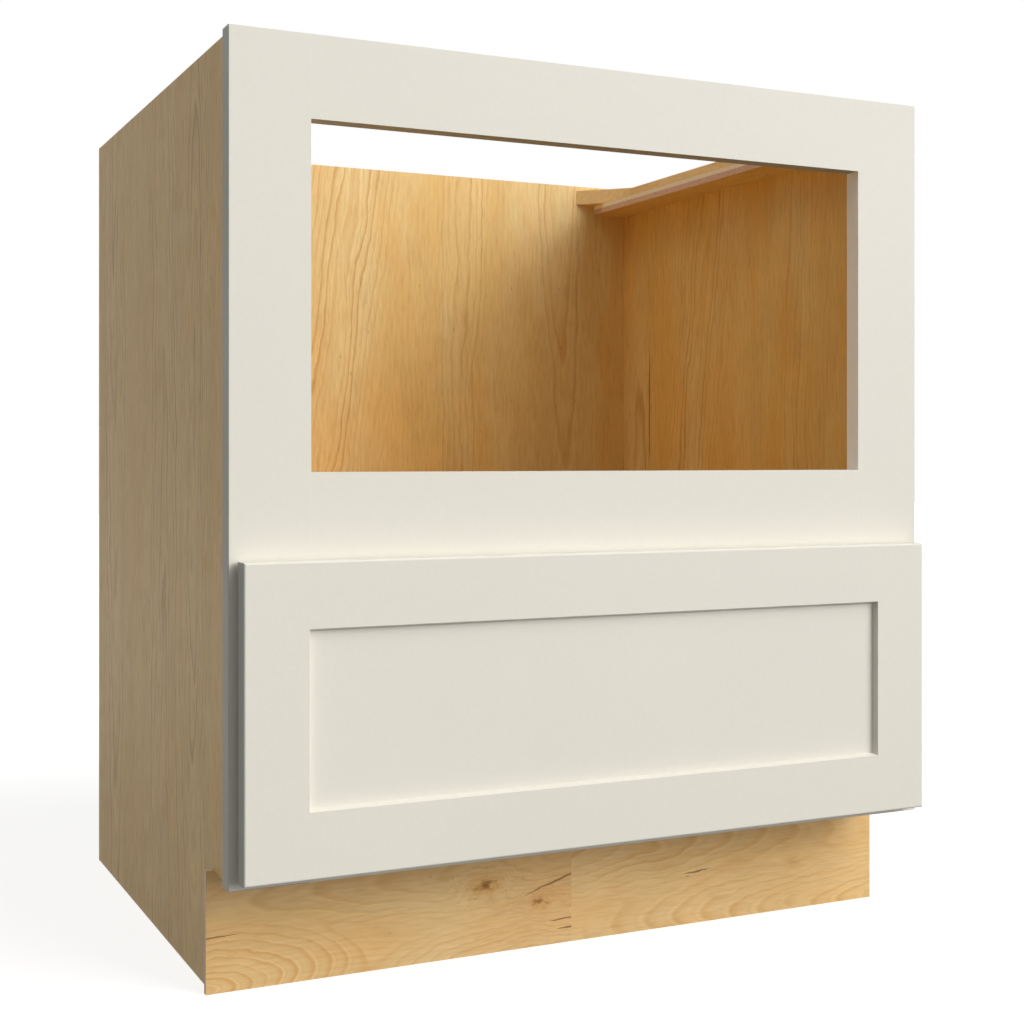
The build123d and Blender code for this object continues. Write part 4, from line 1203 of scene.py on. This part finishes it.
class CABINET_OT_screws(bpy.types.Operator):
    """Turn every screw with its thread, point, head and cross recess."""

    bl_idname = "cabinet.screws"
    bl_label = "Screws"

    columns = 32
    head_rings = 14
    rings_in_pitch = 6
    pole_share = 0.06
    ridge_share = 0.25
    head_radius = 4.2 * MM
    crest_radius = 2.0 * MM
    root_radius = 1.4 * MM
    tip_length = 3.0 * MM
    pan_height = 1.8 * MM
    pan_fall = 0.6 * MM
    rim_height = 0.4 * MM
    rim_bevel = 0.2 * MM
    recess_depth = 1.5 * MM
    recess_reach = 2.5 * MM
    recess_half_width = 0.5 * MM
    brace_screw_step = 120.0 * MM
    groups = (
        ("brace_screws", "cabinet", (0, 0, 1), False), ("slide_screws", "cabinet", (0, 0, 1), True),
        ("bracket_screws", "cabinet", (0, -1, 0), True), ("drawer_front_screws", "drawer", (0, 1, 0), False),
        ("drawer_bottom_screws", "drawer", (0, 0, -1), False), ("clip_screws", "drawer", (0, 0, -1), False),
    )

    def execute(self, context):
        settings = context.scene.cabinet.fitting
        steel = plated_steel("screw_steel", settings.screw, Z)
        for node, body, head_way, pan in self.groups:
            low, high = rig.box(node)
            way = Vector(head_way)
            proud = self.pan_height if pan else 0.0
            depth = abs((high - low).dot(way)) - proud
            points, faces = turned(self.screw(depth, pan, settings.thread_pitch))
            points = points @ np.array(Vector((0, 0, 1)).rotation_difference(way).to_matrix()).T
            shapes = [(points + place, faces) for place in self.places(node, way, proud)]
            add_piece(f"threaded_{node}", shapes, steel, body, "screw_steel", node)
        return {"FINISHED"}

    def places(self, node, way, proud):
        """Where the heads of a group's screws sit: inside the corners of the group's box."""
        low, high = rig.box(node)
        seat = (high if sum(way) > 0 else low) - way * proud
        rows = []
        for axis in (X, Y, Z):
            if way[axis]:
                rows.append((seat[axis],))
            else:
                ends = (low[axis] + self.head_radius, high[axis] - self.head_radius)
                rows.append(ends if ends[1] - ends[0] > MM else (sum(ends) / 2,))
        if node == "brace_screws":
            rows[Y] = (*rows[Y], rows[Y][0] + self.brace_screw_step, rows[Y][1] - self.brace_screw_step)
        if node == "drawer_bottom_screws":
            rows[X] = (*rows[X], 0.0)
        if node == "clip_screws":
            clip_low, clip_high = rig.box("front_clip_right")
            inner = clip_low.x + clip_high.x - rows[X][1]
            rows[X] = (*rows[X], inner, -inner)
        return [np.array(place) for place in product(*rows)]

    def screw(self, depth, pan, pitch):
        """Rings of a screw with its head at the origin and its point below.

        On the head, the height sinks inside a cross whose four wings have sloping walls and rise again over
        the outer half of their reach. A pan head's top falls with the radius cubed. On the shank, the radius
        goes from root to crest where the height in pitches less the turn is near a half.
        """
        turn = np.linspace(0, 2 * pi, self.columns, endpoint=False)
        wing = np.abs((turn + pi / 4) % (pi / 2) - pi / 4)
        radius = np.linspace(self.pole_share, 1, self.head_rings)[:, None] * self.head_radius
        aside, out = radius * np.sin(wing), radius * np.cos(wing)
        taper = np.clip((self.recess_reach - out) / (0.5 * self.recess_reach), 0, 1)
        inside = np.clip((self.recess_half_width * 1.5 - aside) / self.recess_half_width, 0, 1)
        top = -self.recess_depth * taper * inside
        under = np.array(((self.crest_radius, self.crest_radius - self.head_radius),))
        if pan:
            top = top + self.pan_height - self.pan_fall * (radius / self.head_radius) ** 3
            under = np.array((
                (self.head_radius, self.rim_height), (self.head_radius - self.rim_bevel, 0.0),
                (self.crest_radius, 0.0),
            ))
        start = under[-1, 1]
        count = int((depth + start) / (pitch / self.rings_in_pitch))
        height = np.linspace(start, -depth, count)[1:, None]
        phase = (height / pitch - turn / (2 * pi)) % 1
        ridge = np.clip(1 - np.abs(phase - 0.5) / self.ridge_share, 0, 1)
        taper = np.clip((height + depth) / self.tip_length, self.pole_share, 1)
        shank = (self.root_radius + (self.crest_radius - self.root_radius) * ridge) * taper
        wide = np.ones(self.columns)
        radii = np.concatenate((radius * wide, under[:, :1] * wide, shank))
        heights = np.concatenate((top, under[:, 1:] * wide, height * wide))
        return np.stack((radii * np.cos(turn), radii * np.sin(turn), heights), axis=-1)


class CABINET_OT_bumpers(bpy.types.Operator):
    """Cast the four soft bumpers behind the drawer front's corners."""

    bl_idname = "cabinet.bumpers"
    bl_label = "Bumpers"

    columns = 40
    crown_rings = 16
    pole_share = 0.08
    foot_share = 0.25
    radius = 5.0 * MM

    def execute(self, context):
        settings = context.scene.cabinet.fitting
        low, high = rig.box("bumpers")
        points, faces = turned(self.dome(high.y - low.y))
        across, up = ((low[axis] + self.radius, high[axis] - self.radius) for axis in (X, Z))
        centres = product(across, (low.y,), up)
        shapes = [(points + np.array(centre), faces) for centre in centres]
        add_piece("domed_bumpers", shapes, clear_rubber(settings.rubber), "drawer", "clear_rubber", "bumpers")
        return {"FINISHED"}

    def dome(self, height):
        """Rings of a dome along Y: a straight foot, then a crown that falls with the radius to the fourth."""
        turn = np.linspace(0, 2 * pi, self.columns, endpoint=False)
        out = np.linspace(self.pole_share, 1, self.crown_rings)
        rise = self.foot_share + (1 - self.foot_share) * (1 - out ** 4)
        out = np.append(out, 1.0)[:, None] * self.radius
        rise = np.append(rise, 0.0)[:, None] * height * np.ones(self.columns)
        return np.stack((out * np.cos(turn), rise, out * np.sin(turn)), axis=-1)


OPERATORS = (
    CABINET_OT_stage, CABINET_OT_painted_front, CABINET_OT_side_panels, CABINET_OT_interior,
    CABINET_OT_toe_skins, CABINET_OT_solid_maple, CABINET_OT_slides, CABINET_OT_levers, CABINET_OT_screws,
    CABINET_OT_bumpers,
)


class CABINET_PT_sidebar(bpy.types.Panel):
    """Lists the steps and the settings."""

    bl_label = "Microwave base cabinet"
    bl_idname = "CABINET_PT_sidebar"
    bl_space_type = "VIEW_3D"
    bl_region_type = "UI"
    bl_category = "Cabinet"

    def draw(self, context):
        for operator in OPERATORS:
            self.layout.operator(operator.bl_idname)
        for name, group in GROUPS.items():
            box = self.layout.box()
            box.label(text=name.capitalize())
            for field in group.__annotations__:
                box.prop(getattr(context.scene.cabinet, name), field)


CLASSES = (*GROUPS.values(), CabinetSettings, *OPERATORS, CABINET_PT_sidebar)


def register():
    """Register the settings, the steps and the panel."""
    for cls in CLASSES:
        bpy.utils.register_class(cls)
    bpy.types.Scene.cabinet = bpy.props.PointerProperty(
        name="Cabinet", description=CabinetSettings.__doc__, type=CabinetSettings
    )


def unregister():
    """Remove what register added."""
    del bpy.types.Scene.cabinet
    for cls in reversed(CLASSES):
        bpy.utils.unregister_class(cls)


def main():
    """Dress the cabinet step by step, and write its size before and after."""
    register()
    for operator in OPERATORS:
        step = operator.bl_idname.split(".")[1]
        getattr(bpy.ops.cabinet, step)()
    visual_box = [list(corner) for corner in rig.bounds()]
    with open("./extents.json", "w") as file:
        json.dump({"cad": CAD_BOX, "visual": visual_box}, file)


if __name__ == "__main__":
    main()
